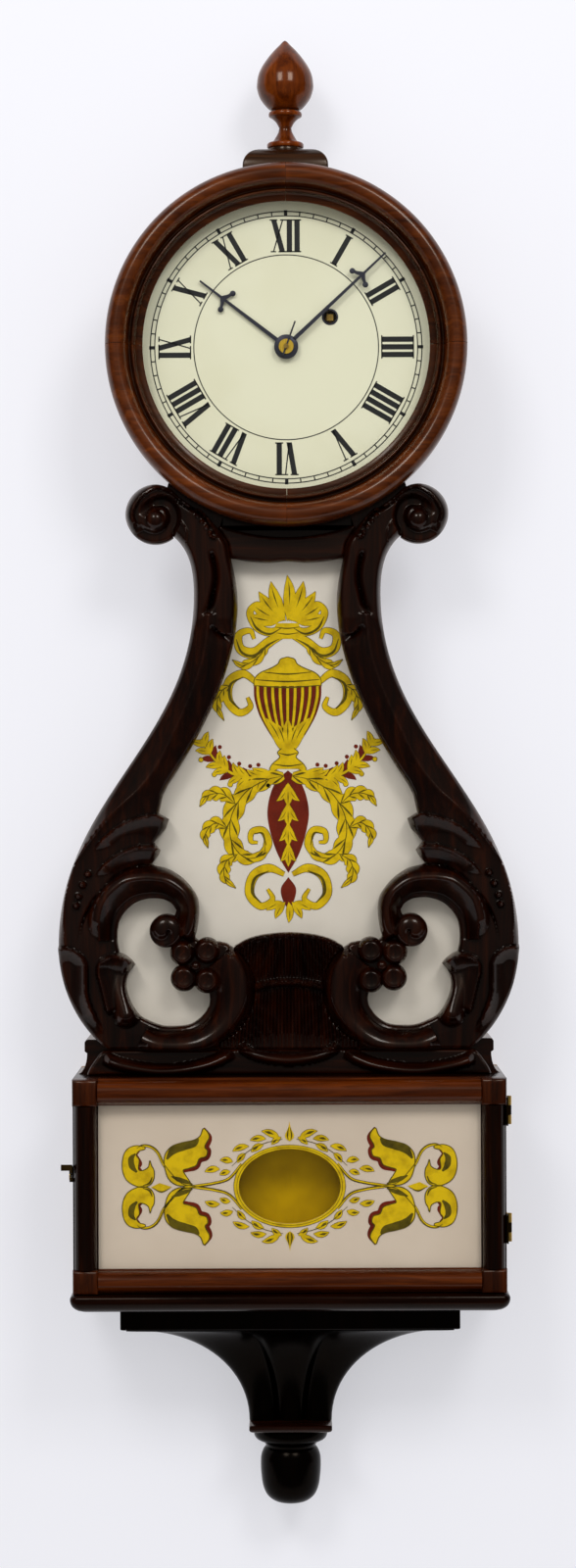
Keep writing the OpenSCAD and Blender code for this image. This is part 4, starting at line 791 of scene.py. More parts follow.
def carve_fan():
    right = arc(LOWER_SCROLL, LOWER_SCROLL_R - 0.1, 128, 250, 40)
    outline = right + [(FAN_HW, FOOT_TOP), (-FAN_HW, FOOT_TOP)] + mirrored(right) + smooth(FAN_TOP, 6)[1:-1]

    def depth(q, edge):
        x, z = q[:, 0], q[:, 1]
        tier, top = (np.interp(x, *zip(*line)) for line in (FAN_TIER, FAN_TOP))
        fall = np.where(z < tier, (tier - z) / LOW_FALL, (top - z) / HIGH_FALL)
        rib_x = x * (1 + RIB_SPLAY * (z - RIB_FROM))
        h = FAN_RISE * np.clip(1 - np.abs(fall), 0, 1) ** 1.4 + RIB_H * np.cos(2 * np.pi * rib_x / RIB_W)
        h += (ridge(q, FAN_TIER, 5.0, (2.6, "round"), (3.4, "round"))
              + ridge(q, FAN_TOP, 2.0, (3, "round"), (4.0, "round")))
        h = np.maximum(h, ridge(q, MID_SWAG, 9.0, (4.0, "round"), (3.6, "round"), (0.06, 0.06)))
        return rounded_edge(FRAME_FRONT - 3 + h, edge, 2.0, 2.0)

    shell = carved_shell(outline, depth, 0.8)
    place(shell.build("fan_carving", dark_wood, 60), "case", "dark_wood", "fan_panel")


def carve_foot():
    ear = smooth([(130, FOOT_TOP), (135.5, -506.5), (139, -511), (143, -517), (145.5, BOX_TOP)], 5)

    def depth(q, edge):
        h = np.zeros(len(q))
        for line in (SWAG, MID_SWAG, mirrored(SWAG)):
            h = np.maximum(h, ridge(q, line, 8.0, (5.6, "round"), (4.4, "round"), (0.06, 0.06)))
        h = np.maximum(h, 3.0 * np.clip((np.abs(q[:, 0]) - 132) / 10, 0, 1))
        return rounded_edge(FRAME_FRONT - 2 + h, edge, 1.8, 2.0)

    shell = carved_shell(ear + mirrored(ear), depth, 0.9)
    place(shell.build("foot_carving", dark_level, 50), "case", "dark_wood", "lyre_foot")


CASE_BACK, SIDE_LOW, SIDE_HEAD_R = 12.0, -497.6, 121.2
SIDE_OUTER, SIDE_INNER = 6.0, 15.0


def throat_walls():
    edge = [(NECK[0], -92.0 - 5 * k) for k in range(17)] + throat_edge()
    edge = [p for p in edge if p[1] >= SIDE_LOW]
    outer, inner = ([p for p in inset(edge, d) if math.hypot(*p) > SIDE_HEAD_R]
                    for d in (SIDE_OUTER, SIDE_INNER))
    loop = outer + inner[::-1]
    shell = Shell()
    for side in (loop, mirrored(loop)):
        shell.prism(side, CASE_BACK, FRAME_BACK)
    place(shell.build("throat_side_boards", dark_wood), "case", "dark_wood", "throat_sides")


# Turned work
BEZEL_BACK, BEZEL_FRONT, BEZEL_R, DIAL_OPENING_R = 78.0, 107.0, 129.4, 102.7
BEZEL_GLASS_FRONT, BEZEL_SEAT, BEZEL_GAP = 90.5, 3.3, 0.06
ROUND_HW, ROUND_H = 8.0, 10.6
# Painted shade in the bezel's hollow: inner and outer radius of the ring, and how dark it gets
HOLLOW_FROM, HOLLOW_TO, HOLLOW_PAINTED_SHADE = 0.110, 0.1145, 0.42


def bezel_profile():
    """Half-round, groove, thin bead and cove, from the outer edge in to the opening."""
    crown = [(BEZEL_R - ROUND_HW + ROUND_HW * math.cos(math.radians(a)),
              BEZEL_FRONT - ROUND_H + ROUND_H * math.sin(math.radians(a))) for a in range(0, 169, 8)]
    groove = bezier([(BEZEL_R - 16.1, 95.4), (BEZEL_R - 16.5, 92.6), (BEZEL_R - 18.4, 92.8),
                     (BEZEL_R - 19.0, 96.6)], 6)
    bead = arc((BEZEL_R - 19.9, 97.2), 0.9, 20, 175, 6)
    cove = bezier([(BEZEL_R - 21.0, 96.4), (BEZEL_R - 22.0, 93.6), (DIAL_OPENING_R + 2.0, 93.4),
                   (DIAL_OPENING_R, 92.4)], 8)
    back = [(DIAL_OPENING_R + BEZEL_SEAT, BEZEL_BACK), (BEZEL_R - 2.5, BEZEL_BACK),
            (BEZEL_R - 0.8, BEZEL_BACK + 1.2), (BEZEL_R, BEZEL_BACK + 5)]
    seat = [(DIAL_OPENING_R, BEZEL_GLASS_FRONT), (DIAL_OPENING_R + BEZEL_SEAT, BEZEL_GLASS_FRONT)]
    return back + crown + groove + bead + cove + seat


def paint_hollow_shade(material):
    """Painted shade: darker colour in the hollow between the half-round and the glass."""
    tree = material.node_tree
    base = tree.nodes["Principled BSDF"].inputs["Base Color"]
    zoom = 5.0
    flat = mapped(tree, "Object", {"Location": (0, 0, zoom * DIAL_DROP / 1000), "Scale": (zoom, 0, zoom)})
    radius = add_node(tree, "VectorMath", {0: flat}, operation="LENGTH").outputs["Value"]
    shade = ramp(tree, radius, (zoom * HOLLOW_FROM, grey(HOLLOW_PAINTED_SHADE)), (zoom * HOLLOW_TO, grey(1.0)))
    tree.links.new(mix(tree, "MULTIPLY", 1.0, base.links[0].from_socket, shade), base)


def turn_bezel():
    for k, name in enumerate(("upper_right", "upper_left", "lower_left", "lower_right")):
        shell = Shell()
        shell.turn(bezel_profile(), (0, 0, 0), "d", 48, 90 * k + BEZEL_GAP, 90 - 2 * BEZEL_GAP)
        board = wood("bezel_mahogany_" + name, *RED, grain="x", turn=45 - 90 * k, gloss=0.28, coat=0.2)
        paint_hollow_shade(board)
        obj = place(shell.build("bezel_" + name, board, 30), "bezel_door", "mahogany")
        if k == 0:
            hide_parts("bezel_segments")


FINIAL_FOOT, FINIAL_D = 149.5, 40.8
FINIAL_BASE = [(0, 0), (12.4, 0), (13.3, 0.8), (13.3, 3.0), (12.6, 3.9), (10.0, 4.3), (8.4, 6.0), (6.6, 9.0),
               (5.0, 12.0)]
FINIAL_NECK = [(4.4, 15.0), (6.6, 19.0), (9.6, 22.0), (11.4, 23.0)]
FINIAL_BEAD = [(12.0, 23.6), (12.2, 25.2), (11.6, 26.4), (9.6, 26.8)]
ACORN = [(9.4, 27.4), (13.2, 30.0), (18.2, 36.5), (20.4, 43.0), (20.6, 47.0), (19.6, 53.5), (17.0, 59.5),
         (12.6, 66.0), (8.0, 71.5), (4.0, 75.5), (1.6, 78.0), (0, 79.0)]
BLOCK_HW, BLOCK_HALF_D, BLOCK_ROUND, BLOCK_LOW, BLOCK_SHOULDER = 31.0, 24.0, 13.0, 113.0, 133.6
BLOCK_DISC = [(0, -4.0), (12.2, -4.0), (12.6, -1.0), (12.2, 0), (0, 0)]
CAP_BOTTOM, DROP_D = -782.3, 33.5
DROP_RING = [(24.3, 0), (25.6, -1.0), (26.8, -3.0), (26.8, -6.5), (25.4, -9.2), (22.8, -10.8), (20.0, -12.0),
             (18.4, -14.0)]
DROP_BALL = [(18.2, -15.2), (20.0, -17.5), (21.6, -22.0), (22.0, -28.0), (21.6, -36.0), (20.4, -44.0),
             (17.6, -50.5), (12.6, -54.8), (6.0, -56.7), (0, -57.0)]
BOB_R, BOB_D, BOB_HALF, BOB_Z = 44.0, 60, 8.0, -605
BOB_BACK, BOB_FRONT = 51.9, 68.1


def turn_finial():
    shell = Shell()
    outline = FINIAL_BASE + smooth(FINIAL_NECK, 5) + FINIAL_BEAD + smooth(ACORN, 6)
    shell.turn(outline, (0, FINIAL_D, FINIAL_FOOT), "z")
    place(shell.build("finial_turning", finial_wood, 50), "case", "mahogany", "finial")


def ring_plan(hw, middle, half_d):
    """Plan of a block with eased upright corners."""
    soft = 1.5
    plan = []
    for sx, sd, a0 in ((1, 1, 0), (-1, 1, 90), (-1, -1, 180), (1, -1, 270)):
        plan += arc((sx * (hw - soft), middle + sd * (half_d - soft)), soft, a0, a0 + 90, 4)
    return plan


def shape_finial_block():
    """Block with quarter-round shoulders all round and a low disc under the finial."""
    turns = [math.radians(a) for a in range(0, 91, 10)]
    rounds = [(BLOCK_ROUND * (1 - math.cos(a)), BLOCK_SHOULDER + BLOCK_ROUND * math.sin(a)) for a in turns]
    shell = Shell()
    shell.turn(BLOCK_DISC, (0, FINIAL_D, FINIAL_FOOT), "z", 64)
    shell.loft([(z, ring_plan(BLOCK_HW - trim, FINIAL_D, BLOCK_HALF_D - trim * 0.8))
                for trim, z in [(0.0, BLOCK_LOW)] + rounds])
    place(shell.build("finial_block_shape", block_wood, 35), "case", "dark_wood", "finial_block")


def turn_drop():
    shell = Shell()
    shell.turn([(0, 0)] + smooth(DROP_RING, 3) + smooth(DROP_BALL, 4), (0, DROP_D, CAP_BOTTOM), "z", 80)
    place(shell.build("pendant_drop_turning", bracket_wood_painted_shade, 50), "case", "dark_wood", "pendant_drop")


def turn_bob():
    turns = [math.radians(a) for a in range(-80, 81, 8)]
    face = [(BOB_R * math.cos(a) ** 0.35, BOB_D + BOB_HALF * math.sin(a)) for a in turns]
    shell = Shell()
    shell.turn([(0, BOB_BACK)] + face + [(0, BOB_FRONT)], (0, 0, BOB_Z), "d")
    place(shell.build("bob_disc", bob_brass), "bob", "brass", "pendulum_bob")


# Box, door and bracket
def rectangle(hw, front, soft):
    """Plan of a board against the wall, with eased front corners."""
    corner = arc((hw - soft, front - soft), soft, 0, 90, 5)
    return [(hw, 0.0)] + corner + mirrored(corner) + [(-hw, 0.0)]


def stepped_board(steps, hw, front, soft):
    """Board whose plan shrinks by a given amount at each height."""
    shell = Shell()
    shell.loft([(z, rectangle(hw - shrink, front - shrink, soft)) for z, shrink in steps])
    return shell


BASE_HW, BASE_FRONT, BASE_SOFT = 155.8, 121.5, 5.0
BASE_STEPS = [(0.0, 1.8), (0.8, 0.7), (2.2, 0.0), (4.2, 0.0), (6.2, 0.5), (8.2, 1.5), (10.0, 3.2),
              (11.3, 5.2), (12.1, 7.6), (12.4, 10.0)]
PLINTH_HW, PLINTH_COVE_W, PLINTH_COVE_H = 145.8, 7.0, 15
PLINTH_LIP = [(146.6, -507.0), (147.6, -506.0), (147.6, -499.6), (146.6, -498.0), (145.0, SIDE_LOW)]
WELL_HW, WELL_FRONT = 50, 63.0


def shape_base():
    steps = [(BASE_TOP - drop, shrink) for drop, shrink in BASE_STEPS]
    shell = stepped_board(steps, BASE_HW, BASE_FRONT, BASE_SOFT)
    place(shell.build("base_moulding_shape", base_wood), "case", "mahogany", "base_moulding")


def shape_plinth():
    turns = [math.radians(a) for a in range(0, 91, 9)]
    cove = [(PLINTH_HW + PLINTH_COVE_W * (1 - math.sin(a)), BOX_TOP + PLINTH_COVE_H * (1 - math.cos(a)))
            for a in turns]
    well = [(-WELL_HW, CASE_BACK), (-WELL_HW, WELL_FRONT), (WELL_HW, WELL_FRONT), (WELL_HW, CASE_BACK)]
    shell = Shell()
    shell.loft([(z, [(x, CASE_BACK), (x, FRAME_BACK), (-x, FRAME_BACK), (-x, CASE_BACK)] + well)
                for x, z in cove + PLINTH_LIP])
    place(shell.build("plinth_moulding", dark_level), "case", "dark_wood", "plinth")


STILE_W, TOP_RAIL_H, LOW_RAIL_H, DOOR_H = 18.0, 19.0, 17.0, 152.0
RAIL_FACE = DOOR_BACK + 9.0
GLASS_SEAT, DOOR_GLASS_FRONT = 4.8, DOOR_BACK + 6.0
DOOR_GAP, HALF_STEPS = 0.08, 24
RAIL_EASE, RAIL_SINK, RAIL_QUIRK = 0.8, 0.6, 0.9
CORNER_LEVELS = [(0.0, 0.0), (15.6, 0.0), (17.0, 0.5), (17.9, 1.6), (18.4, 3.4)]
CORNER_CROWN = 18.8


def half_round(w):
    turns = [math.radians(180 * i / HALF_STEPS) for i in range(1, HALF_STEPS)]
    half = w / 2
    top = [(half - (half - RAIL_QUIRK) * math.cos(a), RAIL_FACE + (half + RAIL_SINK) * math.sin(a))
           for a in turns]
    return ([(0.0, DOOR_BACK), (0.0, RAIL_FACE - RAIL_SINK), (RAIL_EASE, RAIL_FACE)] + top
            + [(w - RAIL_EASE, RAIL_FACE), (w, RAIL_FACE - RAIL_SINK), (w, DOOR_BACK)])


def rabbeted(section, inner_high):
    """Half-round section with the step that holds the glass on its inner side."""
    w = section[-1][0]
    seat = w - GLASS_SEAT
    if inner_high:
        return section[:-1] + [(w, DOOR_GLASS_FRONT), (seat, DOOR_GLASS_FRONT), (seat, DOOR_BACK)]
    return [(GLASS_SEAT, DOOR_BACK), (GLASS_SEAT, DOOR_GLASS_FRONT), (0.0, DOOR_GLASS_FRONT)] + section[1:]


def corner_block(shell, sx, hw, z0, z1):
    """Square block with eased front edges and a slightly crowned face."""
    rings = []
    for d, trim in CORNER_LEVELS:
        x0, x1, low, high = hw + trim, BOX_HW - trim, z0 + trim, z1 - trim
        rings.append([(sx * x, DOOR_BACK + d, z) for x, z in ((x0, low), (x1, low), (x1, high), (x0, high))])
    crown = (sx * (hw + BOX_HW) / 2, DOOR_BACK + CORNER_CROWN, (z0 + z1) / 2)
    shell.stack(rings + [[crown] * 4])


def shape_door():
    hw = BOX_HW - STILE_W
    low, top = BOX_TOP - DOOR_H, BOX_TOP - TOP_RAIL_H
    rails, stiles, corners = Shell(), Shell(), Shell()
    for width, z0, inner_high in ((TOP_RAIL_H, top, False), (LOW_RAIL_H, low, True)):
        section = rabbeted(half_round(width), inner_high)
        rails.stack([[(x, d, z0 + u) for u, d in section] for x in (-hw + DOOR_GAP, hw - DOOR_GAP)])
    section = rabbeted(half_round(STILE_W), False)
    ends = (low + LOW_RAIL_H + DOOR_GAP, top - DOOR_GAP)
    for sx in (1, -1):
        stiles.stack([[(sx * (hw + u), d, z) for u, d in section] for z in ends])
    for sx in (-1, 1):
        corner_block(corners, sx, hw, top, BOX_TOP)
        corner_block(corners, sx, hw, low, low + LOW_RAIL_H)
    place(rails.build("door_rail_mouldings", box_wood, 35), "box_door", "mahogany", "door_rails")
    place(stiles.build("door_stile_mouldings", box_stile_painted_shade, 35), "box_door", "mahogany", "door_stiles")
    place(corners.build("door_corner_shapes", corner_wood_painted_shade, 30), "box_door", "mahogany", "door_corner_blocks")


SHELF_STEPS = [(-687.3, 0.5), (-687.8, 0.0), (-702.8, 0.0), (-703.3, 0.5)]
CAP_STEPS = [(-777.3, 0.8), (-778.0, 0.0), (-780.6, 0.0), (-781.7, 0.7), (CAP_BOTTOM, 2.0)]
CORBEL_TOP, CORBEL_LOW, CORBEL_H, CORBEL_LEVELS = -703.3, -777.3, 71.8, 24
CORBEL_HW, CORBEL_TAPER, CORBEL_D, CORBEL_SINK = 117.5, 87.5, 87.0, 40.0
REEDS, REED_STEPS, REED_TOP, REED_GROWTH = 3, 16, 2.0, 4.0
SHELF_SIZE, CAP_SIZE = (121.5, 95.0, 2.0), (30.0, 67.0, 1.5)


def corbel_level(a):
    """Height and plan of the reeded corbel at an angle of its cove."""
    hw = CORBEL_HW - CORBEL_TAPER * math.sin(a)
    depth = CORBEL_D - CORBEL_SINK * math.sin(a)
    reed = REED_TOP + REED_GROWTH * math.sin(a)
    n = REEDS * REED_STEPS
    front = []
    for k in range(n + 1):
        across = 2 * ((k / REED_STEPS) % 1) - 1
        front.append((hw * (1 - 2 * k / n), depth - reed + reed * math.sqrt(max(0.0, 1 - across ** 2))))
    return CORBEL_LOW + CORBEL_H * math.cos(a), [(hw, 0.0)] + front + [(-hw, 0.0)]


def shape_bracket():
    shelf = stepped_board(SHELF_STEPS, *SHELF_SIZE)
    place(shelf.build("bracket_shelf_shape", bracket_wood_painted_shade), "case", "dark_wood", "bracket_shelf")
    levels = [corbel_level(math.radians(90 * i / CORBEL_LEVELS)) for i in range(CORBEL_LEVELS + 1)]
    corbel = Shell()
    corbel.loft([(CORBEL_TOP, levels[0][1])] + levels)
    place(corbel.build("bracket_corbel_shape", bracket_wood_painted_shade), "case", "dark_wood", "bracket_corbel")
    cap = stepped_board(CAP_STEPS, *CAP_SIZE)
    place(cap.build("bracket_cap_shape", dark_level), "case", "dark_wood", "bracket_cap")


# Dial print
DIAL_FRONT = 77.5
PRINT = (DIAL_FRONT + 0.02, DIAL_FRONT + 0.14)
NUMERAL_LOW, NUMERAL_HIGH = 68.3, 91.9
NUMERALS = ["XII", "I", "II", "III", "IIII", "V", "VI", "VII", "VIII", "IX", "X", "XI"]
ADVANCE = {"I": 5.5, "V": 10.6, "X": 10.8}
STROKE, HAIR = 3.8, 0.9
# Strokes of each letter by their foot, head and thickness; serifs by place, half width and end
LETTER_STROKES = {"I": [(0, 0, STROKE)], "V": [(0.9, -3.0, STROKE), (0.9, 3.6, HAIR)],
                  "X": [(3.2, -3.2, STROKE), (-3.4, 3.4, HAIR)]}
LETTER_SERIFS = {"I": [(0, 2.9, "foot"), (0, 2.9, "head")], "V": [(-3.0, 2.9, "head"), (3.6, 1.9, "head")],
                 "X": [(3.2, 2.8, "foot"), (-3.4, 1.9, "foot"), (-3.2, 2.8, "head"), (3.4, 1.9, "head")]}
HOUR_STEP, MINUTE_STEP = 30, 6
TRACK_LOW, TRACK_HIGH = 94.5, 97.6
RINGS = [(66.4, 0.7), (TRACK_LOW, 0.75), (TRACK_HIGH, 0.75)]
MINUTE_HALF, FIVE_HALF, FIVE_REACH = 0.42, 1.2, 0.9
WINDING_HOLE = (31.6, 0, 21.7)
HOLE_RIM = [(4.6, 77.3), (4.6, 78.1), (5.0, 78.4), (5.6, 78.3), (5.9, 77.6)]


def letter(kind, x):
    """Strokes and serifs of one numeral letter as quads, in a frame of width and height."""
    h = NUMERAL_HIGH - NUMERAL_LOW
    middle = x + ADVANCE[kind] / 2
    quads = []
    for foot, head, thick in LETTER_STROKES[kind]:
        x0, x1, t = middle + foot, middle + head, thick / 2
        quads.append([(x0 - t, 0), (x0 + t, 0), (x1 + t, h), (x1 - t, h)])
    for across, half, end in LETTER_SERIFS[kind]:
        x0, x1, z = middle + across - half, middle + across + half, h - HAIR if end == "head" else 0
        quads.append([(x0, z), (x1, z), (x1, z + HAIR), (x0, z + HAIR)])
    return quads


def on_dial(points, hour_angle):
    """Turn points given across and out from the centre to an angle clockwise from twelve."""
    a = math.radians(hour_angle)
    return [(x * math.cos(a) + r * math.sin(a), -x * math.sin(a) + r * math.cos(a)) for x, r in points]


def print_numerals(shell):
    for k, text in enumerate(NUMERALS):
        x = -sum(ADVANCE[c] for c in text) / 2
        for c in text:
            for quad in letter(c, x):
                shell.prism(on_dial([(px, NUMERAL_LOW + pz) for px, pz in quad], HOUR_STEP * k), *PRINT)
            x += ADVANCE[c]


def print_track(shell):
    """Thin rings and the minute marks between the outer two, longer at each hour."""
    for r, w in RINGS:
        shell.ring_strip(*(ellipse(0, 0, rim, rim, 240) for rim in (r + w / 2, r - w / 2)), *PRINT)
    for k in range(60):
        half, reach = (FIVE_HALF, FIVE_REACH) if k % 5 == 0 else (MINUTE_HALF, 0.0)
        low, high = TRACK_LOW, TRACK_HIGH + reach
        mark = [(-half, low), (half, low), (half, high), (-half, high)]
        shell.prism(on_dial(mark, MINUTE_STEP * k), *PRINT)


def print_dial():
    shell = Shell()
    print_numerals(shell)
    print_track(shell)
    place(shell.build("dial_print", black_paint, 30), "case", "dial_paint")
    shell = Shell()
    shell.turn(HOLE_RIM, WINDING_HOLE, "d", 48)
    place(shell.build("winding_hole_rim", blued), "case", "blued_steel")


# Hands
HOUR_HAND = {"name": "hour_hand", "body": "hour_train", "angle": 307.6, "length": 78.0,
             "barb": 54.6, "half": 7.2, "d": 79.5, "bore": 4.2}
MINUTE_HAND = {"name": "minute_hand", "body": "minute_train", "angle": 46.9, "length": 98.0,
               "barb": 72.6, "half": 6.8, "d": 82.0, "bore": 3.0}
HAND_T, HUB_R = 0.9, 8.6
BALL = [(0, -0.02), (2.0, -0.02), (2.1, 0.4), (1.8, 0.8), (1.0, 1.0), (0, 1.05)]


def make_hand(hand):
    """Slim hand with a barbed cross-piece that ends in two balls."""
    angle, barb, half, d0, bore = (hand[key] for key in ("angle", "barb", "half", "d", "bore"))
    d1 = d0 + HAND_T
    shell = Shell()
    shaft = [(0, HUB_R - 1.0), (0, hand["length"] * 0.5), (0, hand["length"])]
    shell.prism(on_dial(ribbon(smooth(shaft, 10), [2.9, 2.6, 2.0, 1.3]), angle), d0, d1)
    hub = [(HUB_R, d0), (HUB_R, d1 - 0.2), (HUB_R - 0.3, d1), (bore, d1), (bore, d0)]
    shell.turn(hub, (0, 0, 0), "d", 64)
    for sx in (-1, 1):
        arm = [(0, barb + 3.6), (sx * 1.5, barb + 2.0), (sx * 3.8, barb + 0.5), (sx * half, barb - 0.6)]
        shell.prism(on_dial(ribbon(smooth(arm, 6), [2.4, 3.0, 2.4, 1.8]), angle), d0 + 0.05, d1 - 0.05)
        (ball,) = on_dial([(sx * half, barb - 0.9)], angle)
        shell.turn([(r, d0 + rise) for r, rise in BALL], (ball[0], 0, ball[1]), "d", 24)
    place(shell.build(hand["name"] + "_shape", blued, 35), hand["body"], "blued_steel", hand["name"])


# Tablets
THROAT_PAINT, THROAT_GLASS_BACK = (64.2, 64.6), 65.0
THROAT_PAINT_TOP, THROAT_PAINT_LOW, THROAT_PAINT_INSET = -147.0, -491.0, 24.0
BOX_GLASS_BACK = 103.5


def spread(values, n):
    """Values spaced evenly over n places."""
    return np.interp(np.linspace(0, 1, n), np.linspace(0, 1, len(values)), values)


def ribbon(points, widths):
    """Outline of a stroke whose width changes along it."""
    p, t = directed(points)
    side = np.stack([-t[:, 1], t[:, 0]], 1)
    w = spread(widths, len(p))[:, None] / 2
    return [tuple(v) for v in p + side * w] + [tuple(v) for v in (p - side * w)[::-1]]


def leaf_line(base, tip, bend, width):
    """Pointed leaf between two points, bent sideways."""
    b, t = np.array(base, float), np.array(tip, float)
    across = np.array([-(t - b)[1], (t - b)[0]]) * bend
    line = bezier([b, b + (t - b) * 0.33 + across, b + (t - b) * 0.7 + across, t], 14)
    return line, [0.05, width * 0.8, width, width * 0.7, 0.05]


class Tablet:
    """Layers of painted ornament on the back of a glass, mirrored left and right."""

    DEPTHS = {"maroon": 0.30, "rim": 0.24, "gold": 0.18, "olive": 0.12}
    PAINT_T = 0.03
    RIM = 0.8
    LEVELS, LEVEL_STEP = 12, 0.004

    def __init__(self, glass_back):
        self.back = glass_back
        self.layers = {layer: Shell() for layer in self.DEPTHS}
        self.count = {layer: 0 for layer in self.DEPTHS}

    def next_front(self, layer):
        """Front of the next piece of paint: the pieces of a layer lie a hair apart."""
        self.count[layer] = (self.count[layer] + 1) % self.LEVELS
        return self.back - self.DEPTHS[layer] + self.count[layer] * self.LEVEL_STEP

    def shape(self, layer, points, mirror=True):
        d1 = self.next_front(layer)
        for outline in ([points, mirrored(points)] if mirror else [points]):
            self.layers[layer].prism(outline, d1 - self.PAINT_T, d1)

    def ring(self, layer, outer, inner):
        d1 = self.back - self.DEPTHS[layer]
        self.layers[layer].ring_strip(outer, inner, d1 - self.PAINT_T, d1)

    def band(self, layer, line, widths, mirror=True):
        """Flat strip along a line, with a width for each of its points."""
        edge = ribbon(line, widths)
        n = len(line)
        for sign in ((1, -1) if mirror else (1,)):
            d1 = self.next_front(layer)
            verts = [(sign * x, d, z) for d in (d1 - self.PAINT_T, d1) for x, z in edge]
            m = 2 * n
            faces = []
            for i in range(n - 1):
                j = m - 1 - i
                faces += [[i, i + 1, j - 1, j], [m + i, m + j, m + j - 1, m + i + 1]]
            faces += [[i, m + i, m + (i + 1) % m, (i + 1) % m] for i in range(m)]
            self.layers[layer].add(verts, faces)

    def stroke(self, layer, points, widths, mirror=True):
        """Stroke of changing width through points; gilding gets a dark rim."""
        line = smooth(points, 6)
        full = spread(widths, len(line))
        if layer == "gold":
            self.band("rim", line, full + self.RIM, mirror)
        self.band(layer, line, full, mirror)

    def leaf(self, base, tip, bend, width, vein=True, mirror=True, layer="gold", heart=0.12):
        """Pointed leaf; gilding gets a dark rim, and the vein takes a share of the width."""
        line, widths = leaf_line(base, tip, bend, width)
        full = spread(widths, len(line))
        if layer == "gold":
            self.band("rim", line, full + self.RIM * 0.75, mirror)
        self.band(layer, line, full, mirror)
        if vein:
            midrib = line[5:-2]
            self.band("olive", midrib, spread([0.1, width * heart, 0.1], len(midrib)), mirror)

    def disc(self, layer, centre, r):
        if layer == "gold":
            self.shape("rim", arc(centre, r + self.RIM / 2, 0, 345, 23))
        self.shape(layer, arc(centre, r, 0, 345, 23))

    def acanthus(self, points, width, lobes):
        """Scalloped leaf along a curved midrib, with a dark rim and shaded lobes."""
        line = smooth(points, 10)
        s = np.linspace(0, 1, len(line))
        full = width * (0.45 + 0.55 * np.sin(np.pi * s ** 0.8)) * (1 - s ** 5)
        full = np.maximum(full * (0.70 + 0.30 * np.abs(np.sin(np.pi * lobes * s))), 0.1)
        self.band("rim", line, full + self.RIM)
        self.band("gold", line, full)
        self.band("olive", line, np.interp(s, [0, 0.2, 0.8, 1], [0.3, 0.7, 0.6, 0.2]))
        p, t = directed(line)
        side = np.stack([-t[:, 1], t[:, 0]], 1)
        for k in range(1, lobes):
            i = int(k / lobes * (len(line) - 1))
            back_to = max(0, i - int(0.9 * len(line) / lobes))
            for hand in (-1, 1):
                notch = p[i] + hand * side[i] * full[i] * 0.46
                root = p[back_to]
                vein = bezier([root, root + (notch - root) * 0.3, notch - t[i] * 0.12 * width, notch], 6)
                widths = np.interp(np.linspace(0, 1, 7), [0, 0.6, 1], [0.2, width * 0.11, 0.3])
                self.band("olive", vein, widths)

    def build(self, name, body):
        for layer, material in (("gold", gold), ("olive", olive), ("maroon", maroon), ("rim", rim_paint)):
            if self.layers[layer].verts:
                place(self.layers[layer].build(name + "_" + layer, material, 30), body, "painted_glass")


def paint_throat():
    edge = [p for p in inset(throat_edge(), THROAT_PAINT_INSET) if THROAT_PAINT_LOW < p[1] < THROAT_PAINT_TOP]
    outline = [(edge[0][0], THROAT_PAINT_TOP)] + edge + [(edge[-1][0], THROAT_PAINT_LOW)]
    shell = Shell()
    shell.prism(outline + mirrored(outline), *THROAT_PAINT)
    place(shell.build("throat_paint", throat_white, 30), "case", "painted_glass")
    art = Tablet(THROAT_GLASS_BACK)
    for draw in (draw_palmette, draw_urn, draw_sprays, draw_leaf_scrolls, draw_pendant):
        draw(art)
    art.build("throat_ornament", "case")


def draw_palmette(art):
    """Fan of pointed leaves on a pair of volutes."""
    for k in range(4, -1, -1):
        a = math.radians(90 - 20 * k)
        reach = 33 - 2.6 * k
        x, z = 1.3 * k, -196
        art.leaf((x, z), (x + reach * math.cos(a), z + reach * math.sin(a)), -0.07, 9.0, True, k > 0)
    volute = [(2, -199), (12, -204), (22, -200), (27, -190), (22, -184), (16, -187), (18, -192)]
    art.stroke("gold", volute, [3.0, 5.6, 5.8, 4.8, 3.8, 2.8, 1.6])
    art.stroke("olive", [(4, -201), (13, -205.4), (22, -201.4), (26.6, -193)], [0.4, 1.6, 1.8, 0.5])
    scroll = [(3, -206), (13, -211), (24, -219), (34, -216), (35, -206), (27, -203), (24, -209)]
    art.stroke("gold", scroll, [4.0, 6.8, 7.6, 6.4, 5.0, 3.6, 2.0])
    shade = [(6, -209), (14, -213.4), (24, -221), (33, -218.6), (37, -209)]
    art.stroke("olive", shade, [0.4, 1.6, 2.2, 1.8, 0.5])
    art.acanthus([(15, -213), (21, -222), (32, -228), (40, -224)], 8.0, 4)
    collar = [(8, -197.6), (9.4, -201), (7.4, -206), (4, -209)]
    art.shape("gold", collar + mirrored(collar), False)
    for z, w in ((-200.4, 9.0), (-204.6, 7.8)):
        art.stroke("olive", [(-w, z), (0, z - 1.0), (w, z)], [0.4, 1.0, 0.4], False)


URN_CAP = [(0, -222), (5, -223.5), (7, -227), (12, -230), (20, -233.5), (24, -238), (24.4, -243)]
URN_BODY = [(24.4, -242), (24, -252), (20.5, -264), (14, -276), (8, -285), (5, -290)]
URN_FOOT = [(4.5, -288), (7.5, -291), (6, -294.5), (11, -299), (13.5, -303)]


